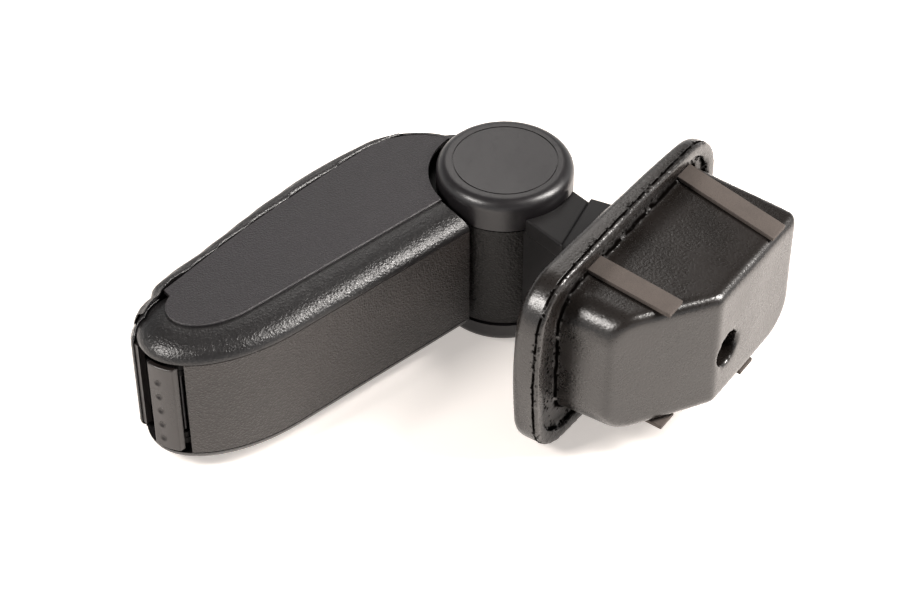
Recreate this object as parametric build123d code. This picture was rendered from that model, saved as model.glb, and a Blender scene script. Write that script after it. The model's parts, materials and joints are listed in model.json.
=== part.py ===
"""Car centre armrest: a foam foot plug carries a pivoting arm with a storage box, a padded lid and a latch.

The part lies on its side. Z is the hinge axis, X points to the rear of the car and Y points up in the car.
Every piece is drawn about the hinge axis, at the middle of the arm's width, and is then moved so that the
origin is the middle of the plane in which the foot's flange seats on the console.
"""
import os
from math import asin, cos, radians, sin, tan

from build123d import *

# Hinge: two caps on the arm's ears, and between them the barrel on the foot's neck.
hinge_width = 121.2
cap_radius = 45.0
cap_wall = 2.6
cap_edge = 7.5
cap_ring_radius = 34.2
cap_ring_width = 0.9
cap_ring_depth = 0.6
cap_tube_radius = 20.0
upper_mouth = 38.1
lower_mouth = -45.0
ear_radius = 36.0
ear_thickness = 4.0
ear_low = 8.0
ear_high = 48.0
ear_root = 42.0
ear_proud = 0.7
ear_play = 0.8
barrel_radius = 44.0
barrel_wall = 2.5
barrel_end_gap = 1.0
bolt_radius = 6.0
bolt_head_radius = 10.0
bolt_head_height = 6.0
nut_height = 6.5
bolt_end = 2.0
washer_radius = 12.0
washer_height = 1.6
bolt_play = 0.05
bush_wall = 2.0
bush_length = 14.0
bush_flange = 0.9
bush_flange_radius = 12.5
tube_wall = 4.0

# Arm: side outline about the hinge, bottom panel, side shells and storage tray.
arm_cut_radius = 50.0
arm_floor = -17.7
nose_start = -190.0
nose_length = 79.5
nose_level = 28.0
nose_radius = 31.0
nose_turn = 50.0
seam_points = [(-210.0, 59.5), (-157.0, 68.0), (-94.0, 74.5)]
seam_crest = (-50.0, 77.3)
seam_fall_radius = 49.3
seam_fall_turn = 68.0
panel_width = 76.0
panel_thickness = 2.8
panel_front_level = 5.0
side_gap = 0.3
border_half = 49.5
side_half = 51.5
roll_inset = 22.0
roll_turn = 115.0
island_floor = 6.2
island_start = -205.0
island_length = 42.0
island_level = 32.0
island_radius = 18.0
island_turn = 70.0
island_edge = 1.2
shell_pocket_inset = 10.0
shell_wall = 2.6
shell_pocket_depth = 7.2
boss_radius = 4.0
screw_radius = 1.6
screw_head_radius = 3.2
screw_head_height = 1.6
screw_bite = 6.0
screw_play = 0.06
screw_points = [(-222.0, 24.0), (-150.0, 12.0), (-150.0, 52.0)]
tray_setback = 22.5
tray_wall = 2.4
tray_play = 0.6
cavity_rear = -62.0
cavity_corner = 4.0
barrel_clearance = 3.5

# Lid: hinge pin at its rear end, frame, pad and front tongue.
lid_hinge = (-27.0, 77.0)
lid_wrap_radius = 7.0
lid_wrap_turn = 115.0
lid_wrap_gap = 0.6
lid_wrap_skin = 1.7
lid_gap = 0.8
lid_neck_half = 46.0
lid_setback = 8.5
lid_front_low = 50.0
lid_front_high = 52.5
lid_crown_points = [(-254.5, 58.2), (-238.0, 66.0), (-200.0, 72.6), (-157.0, 80.0), (-84.0, 88.0)]
lid_half = 51.0
lid_corner = 9.0
lid_edge = 7.0
frame_setback = 18.5
frame_lift = 1.0
frame_thickness = 3.5
frame_half = 46.0
frame_play = 0.2
rib_half = 33.5
rib_wall = 2.0
rib_depth = 3.2
rib_span = (-238.0, -70.0)
pin_radius = 2.0
pin_play = 0.05
knuckle_radius = 4.6
knuckle_span = (14.0, 28.0)
lug_radius = 3.6
lug_span = (28.4, 34.0)
lug_root = (60.0, 72.0)
tongue_setback = 5.5
tongue_thickness = 3.0
tongue_bottom = 41.0
tongue_bend_setback = 11.5
tongue_bend_level = 50.0
tongue_root_setback = 20.5
tongue_root_level = 54.6
tongue_half = 34.0
lip_length = 1.4
lip_height = 2.0

# Latch: dimpled push button on its own pin below the tongue.
latch_pivot_setback = 13.5
latch_pivot_level = 14.0
latch_bottom = 8.5
latch_top = 25.5
latch_proud = 2.5
latch_sunk = 1.0
latch_half = 35.0
latch_edge = 1.2
dimple_level = 18.0
dimple_radius = 3.0
dimple_depth = 1.5
dimple_pitch = 12.0
dimple_middle = -2.5
dimple_count = 5
latch_lug_span = (24.0, 29.0)
latch_bracket_span = (29.4, 34.0)
latch_lug_radius = 3.6
hook_half = 20.0
hook_thickness = 2.2
hook_top = 45.5
hook_play = 0.3
leaf_thickness = 0.6
leaf_half = 6.0
leaf_low = 17.0
leaf_high = 21.0
leaf_tip_level = 31.0

# Rear top cover between the lid and the hinge.
cover_tail = [(-17.0, 79.0), (-0.5, 64.0), (4.5, 55.0), (5.5, 45.0)]
cover_half = 51.0
cover_edge = 5.0
cover_wall = 2.5
cover_gap = 0.4
cover_rib = 1.8
cheek_radius = 9.0

# Foot: tilted flange and plug, neck covers, collar and steel bracket.
foot_tilt = 13.9
flange_top = 84.1
flange_thickness = 16.4
flange_lean = 2.2
flange_shift = -5.8
flange_length = 216.0
flange_width = 143.0
flange_side_bow = 3.0
flange_end_bow = 6.0
flange_corner = 35.0
flange_top_edge = 5.0
flange_low_edge = 1.5
flange_lip_width = 9.0
flange_lip_depth = 4.5
plug_front = -86.0
plug_rear = 79.0
plug_half = 50.0
plug_depth = 76.0
plug_draft = 2.5
plug_front_depth = 27.0
plug_bottom_front = -22.0
plug_front_corner = 22.0
plug_rear_upper_corner = 6.0
plug_rear_lower_corner = 30.0
plug_edge = 7.0
hole_radius = 12.5
hole_depth = 45.0
hole_place = (-8.0, -7.0)
strip_width = 16.0
strip_thickness = 3.0
strip_front_place = -44.0
strip_front_lean = 3.8
strip_front_end = 58.0
strip_rear_place = 65.0
strip_rear_lower_place = 38.0
strip_rear_lean = 10.5
strip_rear_end = 75.0
neck_front = -19.5
neck_rear = 21.0
neck_half = 36.6
neck_wall = 3.0
neck_inner_end = -30.0
neck_cap_half = 48.5
neck_cap_skirt = 13.0
neck_cap_wall = 2.5
neck_cap_proud = 1.1
neck_cap_play = 0.15
neck_end_level = -66.5
neck_end_tilt = 24.5
collar_proud = 2.4
collar_flare = 4.0
collar_wall = 3.0
web_thickness = 6.0
web_half = 30.0
base_length = 36.0
base_half = 44.0
base_thickness = 4.0
base_bolt_pitch = (22.0, 66.0)
base_bolt_radius = 3.0
base_bolt_head_radius = 5.0
base_bolt_head_height = 3.5
base_bolt_length = 40.0
base_bolt_play = 0.06

# Sizes that follow from the ones above.
tall = 200.0
upper_cap_height = hinge_width / 2 - upper_mouth
lower_cap_height = hinge_width / 2 + lower_mouth
upper_ear = upper_mouth - ear_proud
lower_ear = lower_mouth + ear_proud
barrel_top = upper_ear - barrel_end_gap
barrel_bottom = lower_ear + barrel_end_gap
nose_tip = nose_start - nose_length
tray_front = nose_tip + tray_setback
lid_front = nose_tip + lid_setback
frame_front = nose_tip + frame_setback
tongue_back = nose_tip + tongue_setback
tongue_bend = (nose_tip + tongue_bend_setback, tongue_bend_level)
tongue_root = (nose_tip + tongue_root_setback, tongue_root_level)
latch_pivot = (nose_tip + latch_pivot_setback, latch_pivot_level)
shell_inner = panel_width / 2 + side_gap
tray_half = panel_width / 2 - tray_play
bush_radius = bolt_radius + bolt_play + bush_wall
tube_radius = bush_radius + tube_wall
barrel_clear = barrel_radius + barrel_clearance
lid_hub = Vector(lid_hinge[0], lid_hinge[1])
latch_hub = Vector(latch_pivot[0], latch_pivot[1])
foot_along = Vector(cos(radians(foot_tilt)), sin(radians(foot_tilt)), 0)
foot_down = Vector(sin(radians(foot_tilt)), -cos(radians(foot_tilt)), 0)
flange_seat = flange_top + flange_thickness
seat_point = foot_down * flange_seat + foot_along * flange_shift


def foot_plane(depth):
    """Plane square to the foot's own down direction; its sketches are (along, lateral)."""
    return Plane(origin=foot_down * depth, x_dir=foot_along, z_dir=foot_down)


def foot_side_plane():
    """Middle plane of the foot; its sketches are (along, minus depth)."""
    return Plane(origin=(0, 0, 0), x_dir=foot_along, z_dir=(0, 0, 1))


def upright(low, high, bottom=-tall, top=tall):
    """Rectangle of the side view between two x values."""
    return Pos((low + high) / 2, (bottom + top) / 2) * Rectangle(high - low, top - bottom)


def slab(face, low, high):
    """Solid of a side view face between two lateral values."""
    return extrude(Plane.XY.offset(low) * face, high - low)


def both_sides(face, low, high):
    """The same slab on both sides of the middle plane."""
    return slab(face, low, high) + slab(face, -high, -low)


def rod(center, radius, low, high):
    """Lateral cylinder at a point of the side view."""
    return slab(Pos(center[0], center[1]) * Circle(radius), low, high)


def lower_nose(inset):
    """Elliptical underside of the nose."""
    return EllipticalCenterArc((nose_start, nose_level), nose_length - inset,
                               nose_level - arm_floor - inset, start_angle=180, arc_size=90)


def upper_nose(inset, turn):
    """Round upper side of the nose."""
    return CenterArc((nose_tip + nose_radius, nose_level), nose_radius - inset, 180 - turn, turn)


def lid_seam(start, drop):
    """Seam between the side shell and the lid, lowered by a drop."""
    points = [start] + [(x, y - drop) for x, y in seam_points] + [(seam_crest[0], seam_crest[1] - drop)]
    return Spline(*points, tangents=[(1, 0.05), (1, 0)], tangent_scalars=[0.5, 1.0])


def arm_region(inset=0.0):
    """Side outline of the arm below the lid seam, drawn in by an inset."""
    floor = Line((0, arm_floor + inset), (nose_start, arm_floor + inset))
    upper = upper_nose(inset, nose_turn)
    seam = lid_seam(upper @ 0, inset)
    fall = CenterArc((seam_crest[0], seam_crest[1] - inset - seam_fall_radius), seam_fall_radius,
                     90, -seam_fall_turn)
    close = Line(fall @ 1, floor @ 0)
    return make_face([floor, lower_nose(inset), upper, seam, fall, close])


def open_region(inset):
    """Inside of the arm drawn in by an inset, open upwards."""
    floor = Line((0, arm_floor + inset), (nose_start, arm_floor + inset))
    lower = lower_nose(inset)
    close = Polyline(lower @ 0, (nose_tip + inset, tall), (0, tall), floor @ 0)
    return make_face([floor, lower, close])


def ear_region(grow=0.0):
    """Hinge ear: a disc on the axis and a straight root towards the tray."""
    root_end = cavity_rear - ear_root
    return Circle(ear_radius + grow) + upright(root_end, 0, ear_low - grow, ear_high + grow)


def roll_cutter():
    """Cutter that leaves the large roll along the bottom and round the nose of a side shell."""
    depth = border_half - shell_inner
    margin = depth / 4
    path = Wire([Line((cap_radius, arm_floor), (nose_start, arm_floor)), lower_nose(0),
                 upper_nose(0, roll_turn)])
    curve = EllipticalCenterArc((roll_inset, 0), roll_inset, depth, start_angle=90, arc_size=90)
    outside = Polyline((0, 0), (0, -margin), (-margin, -margin), (-margin, depth + margin),
                       (roll_inset, depth + margin), (roll_inset, depth))
    start = Plane(origin=(cap_radius, arm_floor, shell_inner), x_dir=(0, 1, 0), z_dir=(1, 0, 0))
    return sweep(start * make_face([curve, outside]), Pos(0, 0, shell_inner) * path)


def island():
    """Raised panel of a side shell, with rounded edges."""
    base = Line((0, island_floor), (island_start, island_floor))
    lower = EllipticalCenterArc((island_start, island_level), island_length,
                                island_level - island_floor, start_angle=180, arc_size=90)
    upper = CenterArc((island_start - island_length + island_radius, island_level), island_radius,
                      180 - island_turn, island_turn)
    close = Polyline(upper @ 0, upper @ 0 + Vector(island_radius, tall), (0, tall), base @ 0)
    face = (make_face([base, lower, upper, close]) & arm_region()) - Circle(arm_cut_radius)
    solid = slab(face, border_half - island_edge, side_half)
    outer = solid.faces().sort_by(Axis.Z)[-1].edges()
    high = island_level + island_radius
    rim = outer.filter_by(lambda edge: edge.center().X < cavity_rear and edge.center().Y < high)
    return fillet(rim, island_edge)


def side_shell():
    """Upper side shell: roll, raised island, hollow back and screw bosses."""
    shell = slab(arm_region() - Circle(arm_cut_radius), shell_inner, border_half)
    shell = shell - roll_cutter() + island()
    shell -= slab(arm_region(shell_pocket_inset), shell_inner, shell_inner + shell_pocket_depth)
    room = 2 * ear_play
    ear_room = upright(cavity_rear - ear_root - room, 0, ear_low - room, ear_high + room)
    shell -= slab(ear_room, shell_inner, side_half - shell_wall)
    shell -= slab(lid_room(0), 0, lid_neck_half + lid_wrap_gap)
    for point in screw_points:
        shell += rod(point, boss_radius, tray_half, shell_inner + shell_pocket_depth)
        shell -= rod(point, screw_radius + screw_play, 0, tray_half + screw_bite + screw_play)
    return shell


def shell_screws():
    """Screws from the tray into the bosses of both side shells."""
    screws = []
    for point in screw_points:
        inner = tray_half - tray_wall
        head = rod(point, screw_head_radius, inner - screw_head_height, inner)
        screw = head + rod(point, screw_radius, inner - screw_head_height, tray_half + screw_bite)
        screws += [screw, mirror(screw, about=Plane.XY)]
    return Compound(children=screws)


def bottom_panel():
    """Thin panel under the tray, curved up at the nose."""
    band = (arm_region() - arm_region(panel_thickness)) & upright(-tall * 2, 0, -tall, panel_front_level)
    half = panel_width / 2 - side_gap
    return slab(band - Circle(arm_cut_radius), -half, half)


def arm_base():
    """Storage tray with the hinge ears, the lid's lugs and the latch's brackets."""
    outside = (arm_region(panel_thickness) & upright(tray_front, 0)) - Circle(barrel_clear)
    base = slab(outside, -tray_half, tray_half)
    inner = tray_half - tray_wall
    room = open_region(panel_thickness + tray_wall)
    cavity = slab(room & upright(tray_front + tray_wall, cavity_rear), -inner, inner)
    cavity = fillet(cavity.edges().filter_by(Axis.Y), cavity_corner)
    well = (room & upright(cavity_rear + tray_wall, 0)) - Circle(barrel_clear + tray_wall)
    base = base - cavity - slab(well, -inner, inner)
    root = upright(cavity_rear - ear_root, cavity_rear, ear_low, ear_high)
    base += slab(ear_region(), upper_ear, upper_ear + ear_thickness)
    base += slab(root, inner, upper_ear + ear_thickness)
    base += slab(ear_region(), lower_ear - ear_thickness, lower_ear)
    base += slab(root, lower_ear - ear_thickness, -inner)
    base -= rod((0, 0), bolt_radius + bolt_play, -hinge_width, hinge_width)
    wall = upright(cavity_rear, cavity_rear + tray_wall, lug_root[0], lug_root[1])
    hub = Pos(lid_hub.X, lid_hub.Y) * Circle(lug_radius)
    base += both_sides(make_hull(wall.edges() + hub.edges()), lug_span[0], lug_span[1])
    base -= rod(lid_hinge, pin_radius, -lug_span[1], lug_span[1])
    foot = upright(tray_front, tray_front + tray_wall, latch_hub.Y - 2 * latch_lug_radius,
                   latch_hub.Y + 2 * latch_lug_radius)
    hub = Pos(latch_hub.X, latch_hub.Y) * Circle(latch_lug_radius)
    base += both_sides(make_hull(foot.edges() + hub.edges()), latch_bracket_span[0], latch_bracket_span[1])
    base -= rod(latch_pivot, pin_radius, -latch_bracket_span[1], latch_bracket_span[1])
    for point in screw_points:
        base -= rod(point, screw_radius + screw_play, -tray_half, tray_half)
    return base


def hinge_cap(height, mouth, ear):
    """Cap with its face up, its ring groove and the tube that seats on the ear."""
    top = hinge_width / 2
    cap = Pos(0, 0, top - height / 2) * Cylinder(cap_radius, height)
    cap = fillet(cap.edges().sort_by(Axis.Z)[-1], cap_edge)
    hollow = rod((0, 0), cap_radius - cap_wall, mouth - 1, top - cap_wall)
    cap -= fillet(hollow.edges().sort_by(Axis.Z)[-1], cap_edge - cap_wall)
    ring = Circle(cap_ring_radius + cap_ring_width / 2) - Circle(cap_ring_radius - cap_ring_width / 2)
    cap -= slab(ring, top - cap_ring_depth, top + 1)
    cap -= slab(ear_region(ear_play), mouth - 1, ear + ear_thickness + ear_play)
    tube = Circle(cap_tube_radius) - Circle(cap_tube_radius - cap_wall)
    return cap + slab(tube, ear + ear_thickness, top - cap_wall)


def pivot_bolt():
    """Clamped hinge bolt with a hexagon head below the lower ear."""
    low = lower_ear - ear_thickness
    top = upper_ear + ear_thickness + washer_height + nut_height + bolt_end
    seat = low - washer_height
    head = slab(RegularPolygon(bolt_head_radius, 6), seat - bolt_head_height, seat)
    return head + rod((0, 0), bolt_radius, seat, top)


def pivot_nut():
    """Hexagon nut above the upper ear."""
    low = upper_ear + ear_thickness + washer_height
    return slab(RegularPolygon(bolt_head_radius, 6) - Circle(bolt_radius), low, low + nut_height)


def pivot_washers():
    """Washers between the ears and the bolt's head and nut."""
    face = Circle(washer_radius) - Circle(bolt_radius + bolt_play)
    low = lower_ear - ear_thickness
    high = upper_ear + ear_thickness
    return Compound(children=[slab(face, high, high + washer_height), slab(face, low - washer_height, low)])


def pivot_bush(end, length, flange):
    """Flanged bush in one end of the hinge tube; a negative length points it the other way."""
    bore = Circle(bolt_radius + bolt_play)
    sleeve = extrude(Plane.XY.offset(end) * (Circle(bush_radius) - bore), -length)
    return sleeve + extrude(Plane.XY.offset(end) * (Circle(bush_flange_radius) - bore), flange)


def lid_wrap():
    """Round rear end of the lid about its hinge pin."""
    return CenterArc(lid_hub, lid_wrap_radius, 0, lid_wrap_turn)


def lid_crown():
    """Upper line of the lid, from its front to its round rear end."""
    return Spline((lid_front, lid_front_high), *lid_crown_points, lid_wrap() @ 1)


def lid_profile():
    """Side view of the lid from its seam to its crown, wrapped round the hinge pin at the rear."""
    seam = lid_seam(upper_nose(0, nose_turn) @ 0 + Vector(0, lid_gap), -lid_gap)
    crown = lid_crown()
    wrap = lid_wrap()
    rear = Polyline(wrap @ 0, (lid_hub.X, lid_hub.Y), seam @ 1)
    nose = Polyline(seam @ 0, (lid_front, lid_front_low), (lid_front, lid_front_high))
    return make_face([seam, rear, wrap, crown, nose])


def frame_plate(low, high, rear):
    """Band above the seam between two lifts, from the nose to a rear line."""
    start = upper_nose(0, nose_turn) @ 0
    lower = lid_seam(start + Vector(0, low), -low)
    upper = lid_seam(start + Vector(0, high), -high)
    band = make_face([lower, Line(lower @ 1, upper @ 1), upper, Line(upper @ 0, lower @ 0)])
    return band & upright(-tall * 2, rear)


def tongue_profile(grow):
    """Front tongue of the lid frame, bent down from the board, drawn out by a growth."""
    front = tongue_back - tongue_thickness
    knee = tongue_bottom + 1.4 * tongue_thickness
    line = Polyline(tongue_root, tongue_bend, (tongue_back, knee), (tongue_back, tongue_bottom),
                    (front, tongue_bottom), (front, knee),
                    (tongue_bend[0] - tongue_thickness, tongue_bend[1] + tongue_thickness / 4),
                    (tongue_bend[0], tongue_bend[1] + 1.3 * tongue_thickness),
                    (tongue_root[0], tongue_root[1] + tongue_thickness), close=True)
    face = make_face(line)
    return offset(face, amount=grow, kind=Kind.INTERSECTION) if grow else face


def lid_frame():
    """Stiff board under the pad with its knuckles, locating ribs and front tongue."""
    rear = seam_crest[0]
    board = frame_plate(frame_lift, frame_lift + frame_thickness, rear) & upright(frame_front, rear)
    plate = slab(board, -frame_half, frame_half)
    rib = frame_plate(-rib_depth, frame_lift + frame_thickness / 2, rib_span[1])
    rib &= upright(rib_span[0], rib_span[1])
    plate += both_sides(rib, rib_half - rib_wall, rib_half)
    hub = Pos(lid_hub.X, lid_hub.Y) * Circle(knuckle_radius)
    root = upright(rear - frame_thickness, rear, seam_crest[1] + frame_lift,
                   seam_crest[1] + frame_lift + frame_thickness)
    plate += both_sides(make_hull(root.edges() + hub.edges()), knuckle_span[0], knuckle_span[1])
    plate -= rod(lid_hinge, pin_radius + pin_play, -knuckle_span[1], knuckle_span[1])
    plate += slab(tongue_profile(0), -tongue_half, tongue_half)
    lip = upright(tongue_back - tongue_thickness, tongue_back + lip_length, tongue_bottom,
                  tongue_bottom + lip_height)
    return plate + slab(lip, -tongue_half, tongue_half)


def lid_block():
    """Tall block under the lid's crown, with rounded front corners and a rounded upper rim."""
    crown = lid_crown()
    tail = Line(crown @ 1, crown @ 1 + (crown % 1) * 2 * lid_wrap_radius)
    close = Polyline(tail @ 1, ((tail @ 1).X, 0), (lid_front, 0), crown @ 0)
    block = slab(make_face([crown, tail, close]), -lid_half, lid_half)
    block = fillet(block.edges().filter_by(Axis.Y).group_by(Axis.X)[0], lid_corner)
    top = block.faces().filter_by(lambda face: face.normal_at().Y > 0.7)
    rim = top.edges().filter_by(lambda edge: abs(edge.center().Z) > lid_half - lid_corner)
    return fillet(rim, lid_edge)


def lid_pad():
    """Soft pad over the lid frame, rounded at its edges and corners."""
    pad = lid_block() & slab(lid_profile(), -lid_half, lid_half)
    recess = frame_plate(0, frame_lift + frame_thickness + frame_play, seam_crest[0])
    recess &= upright(frame_front - frame_play, lid_hub.X)
    pad -= slab(recess, -frame_half - frame_play, frame_half + frame_play)
    pad -= slab(tongue_profile(frame_play), -tongue_half - frame_play, tongue_half + frame_play)
    room = lid_wrap_radius - lid_wrap_skin
    half = lug_span[1] + 2 * lid_gap
    pad -= rod(lid_hinge, room, -half, half)
    cheek = Pos(lid_hub.X, lid_hub.Y) * Circle(cheek_radius + lid_wrap_gap) + upright(lid_hub.X, 0, 0)
    pad -= both_sides(cheek, lid_neck_half, lid_half)
    high = lid_hub.Y + knuckle_radius + frame_play
    return pad - slab(upright(seam_crest[0] - frame_thickness, lid_hub.X, -tall, high), -half, half)


def lid_hinge_pin():
    """Pin through the tray's lugs and the lid's knuckles."""
    return rod(lid_hinge, pin_radius, -lug_span[1], lug_span[1])


def latch_pin():
    """Pin through the tray's front brackets and the latch's lugs."""
    return rod(latch_pivot, pin_radius, -latch_bracket_span[1], latch_bracket_span[1])


def latch_button():
    """Dimpled push button with lugs to its pin and a hook behind the lid's tongue."""
    band = arm_region(-latch_proud) - arm_region(latch_sunk)
    band &= upright(-tall * 2, nose_start, latch_bottom, latch_top)
    button = slab(band, -latch_half, latch_half)
    ends = button.edges().filter_by(Axis.Z).group_by(Axis.Y)
    outer = [ends[0].sort_by(Axis.X)[0], ends[-1].sort_by(Axis.X)[0]]
    button = fillet(outer, latch_edge)
    hook_face = tongue_back + lip_length + hook_play
    stem = upright(hook_face, hook_face + hook_thickness, leaf_high, hook_top)
    button += slab(stem, -hook_half, hook_half)
    foot = upright(nose_tip, hook_face + hook_thickness, leaf_high, leaf_high + hook_thickness)
    button += slab(foot, -hook_half, hook_half)
    hub = Pos(latch_hub.X, latch_hub.Y) * Circle(latch_lug_radius)
    root_top = latch_top - latch_edge
    root = upright(nose_tip, nose_tip + hook_thickness, root_top - latch_lug_radius, root_top)
    button += both_sides(make_hull(root.edges() + hub.edges()), latch_lug_span[0], latch_lug_span[1])
    button -= rod(latch_pivot, pin_radius + pin_play, -latch_half, latch_half)
    across = nose_length + latch_proud
    deep = nose_level - arm_floor + latch_proud
    turn = asin((nose_level - dimple_level) / deep)
    spot = Vector(nose_start - across * cos(turn), dimple_level)
    outward = Vector(-cos(turn) / across, -sin(turn) / deep).normalized()
    ball = spot + outward * (dimple_radius - dimple_depth)
    for index in range(dimple_count):
        level = dimple_middle + (index - (dimple_count - 1) / 2) * dimple_pitch
        button -= Pos(ball.X, ball.Y, level) * Sphere(dimple_radius)
    return button


def latch_spring():
    """Leaf spring on the tray's front wall that pushes the latch outwards."""
    tip = tongue_back + lip_length + hook_play + hook_thickness
    bend = Polyline((tray_front, leaf_low), (tray_front, leaf_high), (tip, leaf_tip_level + leaf_thickness),
                    (tip, leaf_tip_level), (tray_front - leaf_thickness, leaf_high - leaf_thickness),
                    (tray_front - leaf_thickness, leaf_low), close=True)
    return slab(make_face(bend), -leaf_half, leaf_half)


def cover_profile(inset, drop):
    """Side view of the rear top cover above the seam, drawn in by an inset, with a lowered underside."""
    lift = cover_gap - drop
    under = CenterArc((seam_crest[0], seam_crest[1] + lift - seam_fall_radius), seam_fall_radius + inset,
                      90, -seam_fall_turn)
    tail = [(x - inset / 2, y - inset) for x, y in cover_tail]
    start = lid_hub + Vector(0, lid_wrap_radius - inset)
    crown = Spline(start, *tail, tangents=[(1, -0.15), (0, -1)])
    close = Line(crown @ 1, under @ 1)
    front = Line(start, under @ 0)
    face = make_face([crown, close, under, front]) & upright(lid_hub.X, tall)
    return face - Circle(arm_cut_radius + inset)


def lid_room(inset):
    """Round room for the lid's rear end as it turns on its pin."""
    return Pos(lid_hub.X, lid_hub.Y) * Circle(lid_wrap_radius + lid_wrap_gap + inset)


def rear_top_cover():
    """Fixed cover behind the lid, hollow inside, with ribs that stand on the tray's side walls."""
    cover = slab(cover_profile(0, 0), -cover_half, cover_half)
    outer = cover.faces().filter_by(lambda face: face.normal_at().Y > 0.3).sort_by(SortBy.AREA)[-1]
    rim = outer.edges().filter_by(lambda edge: abs(edge.center().Z) > cover_half - cover_wall)
    room = lid_neck_half + lid_wrap_gap
    cover = fillet(rim, cover_edge) - slab(lid_room(0), -room, room)
    inner = room - cover_wall
    cover -= slab(cover_profile(cover_wall, panel_thickness) - lid_room(cover_wall), -inner, inner)
    cheek = Pos(lid_hub.X, lid_hub.Y) * Circle(cheek_radius) & upright(-tall, lid_hub.X, 0)
    cheek -= arm_region(-cover_gap)
    cover += both_sides(cheek, room, cover_half) & lid_block()
    middle = tray_half - tray_wall / 2
    rib = cover_profile(cover_wall / 2, panel_thickness + cover_gap) - lid_room(cover_wall / 2)
    return cover + both_sides(rib, middle - cover_rib / 2, middle + cover_rib / 2)


def barrel_cover():
    """Grained cover round the hinge tube, open towards the neck."""
    barrel = rod((0, 0), barrel_radius, barrel_bottom, barrel_top)
    barrel -= rod((0, 0), barrel_radius - barrel_wall, barrel_bottom + barrel_wall, barrel_top - barrel_wall)
    barrel -= rod((0, 0), tube_radius + bolt_play, barrel_bottom, barrel_top)
    neck = upright(neck_front - neck_cap_play, neck_rear + neck_cap_play, -tall, neck_inner_end)
    return barrel - slab(neck, -neck_half - neck_cap_play, neck_half + neck_cap_play)


def bracket():
    """Steel hinge tube, neck web and base plate."""
    plate_top = flange_top - base_thickness
    tube = Circle(tube_radius) - Circle(bush_radius)
    part = slab(tube, barrel_bottom, barrel_top)
    middle = (neck_front + neck_rear) / 2
    web = upright(middle - web_thickness / 2, middle + web_thickness / 2, -tall, 0)
    web -= Circle(bush_radius + tube_wall / 2)
    web &= foot_side_plane() * (Pos(0, -plate_top / 2) * Rectangle(tall, plate_top + base_thickness / 2))
    part += slab(web, -web_half, web_half)
    plate = Rectangle(base_length, 2 * base_half)
    center = base_center()
    part += extrude(foot_plane(plate_top) * (Pos(center, 0) * plate), base_thickness)
    return part - bolt_rods(base_bolt_radius + base_bolt_play, plate_top, base_thickness)


def base_center():
    """Place along the foot where the neck's middle line meets the flange."""
    middle = (neck_front + neck_rear) / 2
    return middle / cos(radians(foot_tilt)) - flange_top * tan(radians(foot_tilt))


def bolt_rods(radius, depth, length):
    """Cylinders at the base plate's bolt places, downwards from a depth."""
    places = GridLocations(base_bolt_pitch[0], base_bolt_pitch[1], 2, 2)
    sketch = Sketch() + [Pos(base_center(), 0) * place * Circle(radius) for place in places]
    return extrude(foot_plane(depth) * sketch, length)


def bracket_bolts():
    """Four bolts from the base plate into the foot."""
    plate_top = flange_top - base_thickness
    heads = bolt_rods(base_bolt_head_radius, plate_top - base_bolt_head_height, base_bolt_head_height)
    return heads + bolt_rods(base_bolt_radius, plate_top - base_bolt_head_height,
                             base_bolt_length + base_bolt_head_height)


def neck_end_plane():
    """Slanted plane where the neck caps meet the collar; its sketches are (along, lateral)."""
    middle = (neck_front + neck_rear) / 2
    along = Vector(cos(radians(neck_end_tilt)), sin(radians(neck_end_tilt)), 0)
    down = Vector(sin(radians(neck_end_tilt)), -cos(radians(neck_end_tilt)), 0)
    return Plane(origin=(middle, neck_end_level, 0), x_dir=along, z_dir=down)


def above_plane(plane):
    """Large block on the hinge's side of a plane."""
    return extrude(plane * Rectangle(tall * 2, tall * 2), -tall)


def neck_housing():
    """Rectangular tube round the steel web, from the barrel down to the flange."""
    wall = neck_wall
    outer = slab(upright(neck_front, neck_rear, -tall, neck_inner_end), -neck_half, neck_half)
    inner = slab(upright(neck_front + wall, neck_rear - wall, -tall, neck_inner_end), -neck_half + wall,
                 neck_half - wall)
    return (outer - inner) & above_plane(foot_plane(flange_top - base_thickness - base_bolt_head_height))


def neck_cap():
    """Upper cap over the side of the neck housing."""
    low = neck_front - neck_cap_proud
    high = neck_rear + neck_cap_proud
    reach = cap_radius + neck_cap_proud
    face = upright(low, high, -tall, 0) - Circle(reach)
    cap = slab(face, neck_cap_half - neck_cap_skirt, neck_cap_half)
    cap = fillet(cap.faces().sort_by(Axis.Z)[-1].edges(), neck_cap_proud)
    cap -= slab(upright(neck_front - neck_cap_play, neck_rear + neck_cap_play, -tall * 2, 0), 0,
                neck_half + neck_cap_play)
    wall = neck_cap_wall
    pocket = upright(low + wall, high - wall, -tall * 2, 0) - Circle(reach + wall)
    cap -= slab(pocket, 0, neck_cap_half - wall)
    return cap & above_plane(neck_end_plane())


def collar_size():
    """Length and width of the collar's slanted upper end."""
    across = (neck_rear - neck_front + 2 * neck_cap_proud) / cos(radians(neck_end_tilt))
    return across + 2 * collar_proud, 2 * (neck_cap_half + collar_proud)


def collar_foot(grow):
    """Outline of the collar where it stands on the flange, drawn out by a growth."""
    length, width = collar_size()
    flare = 2 * (collar_flare + grow)
    return Pos(base_center(), 0) * RectangleRounded(length + flare, width + flare, collar_proud)


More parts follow.
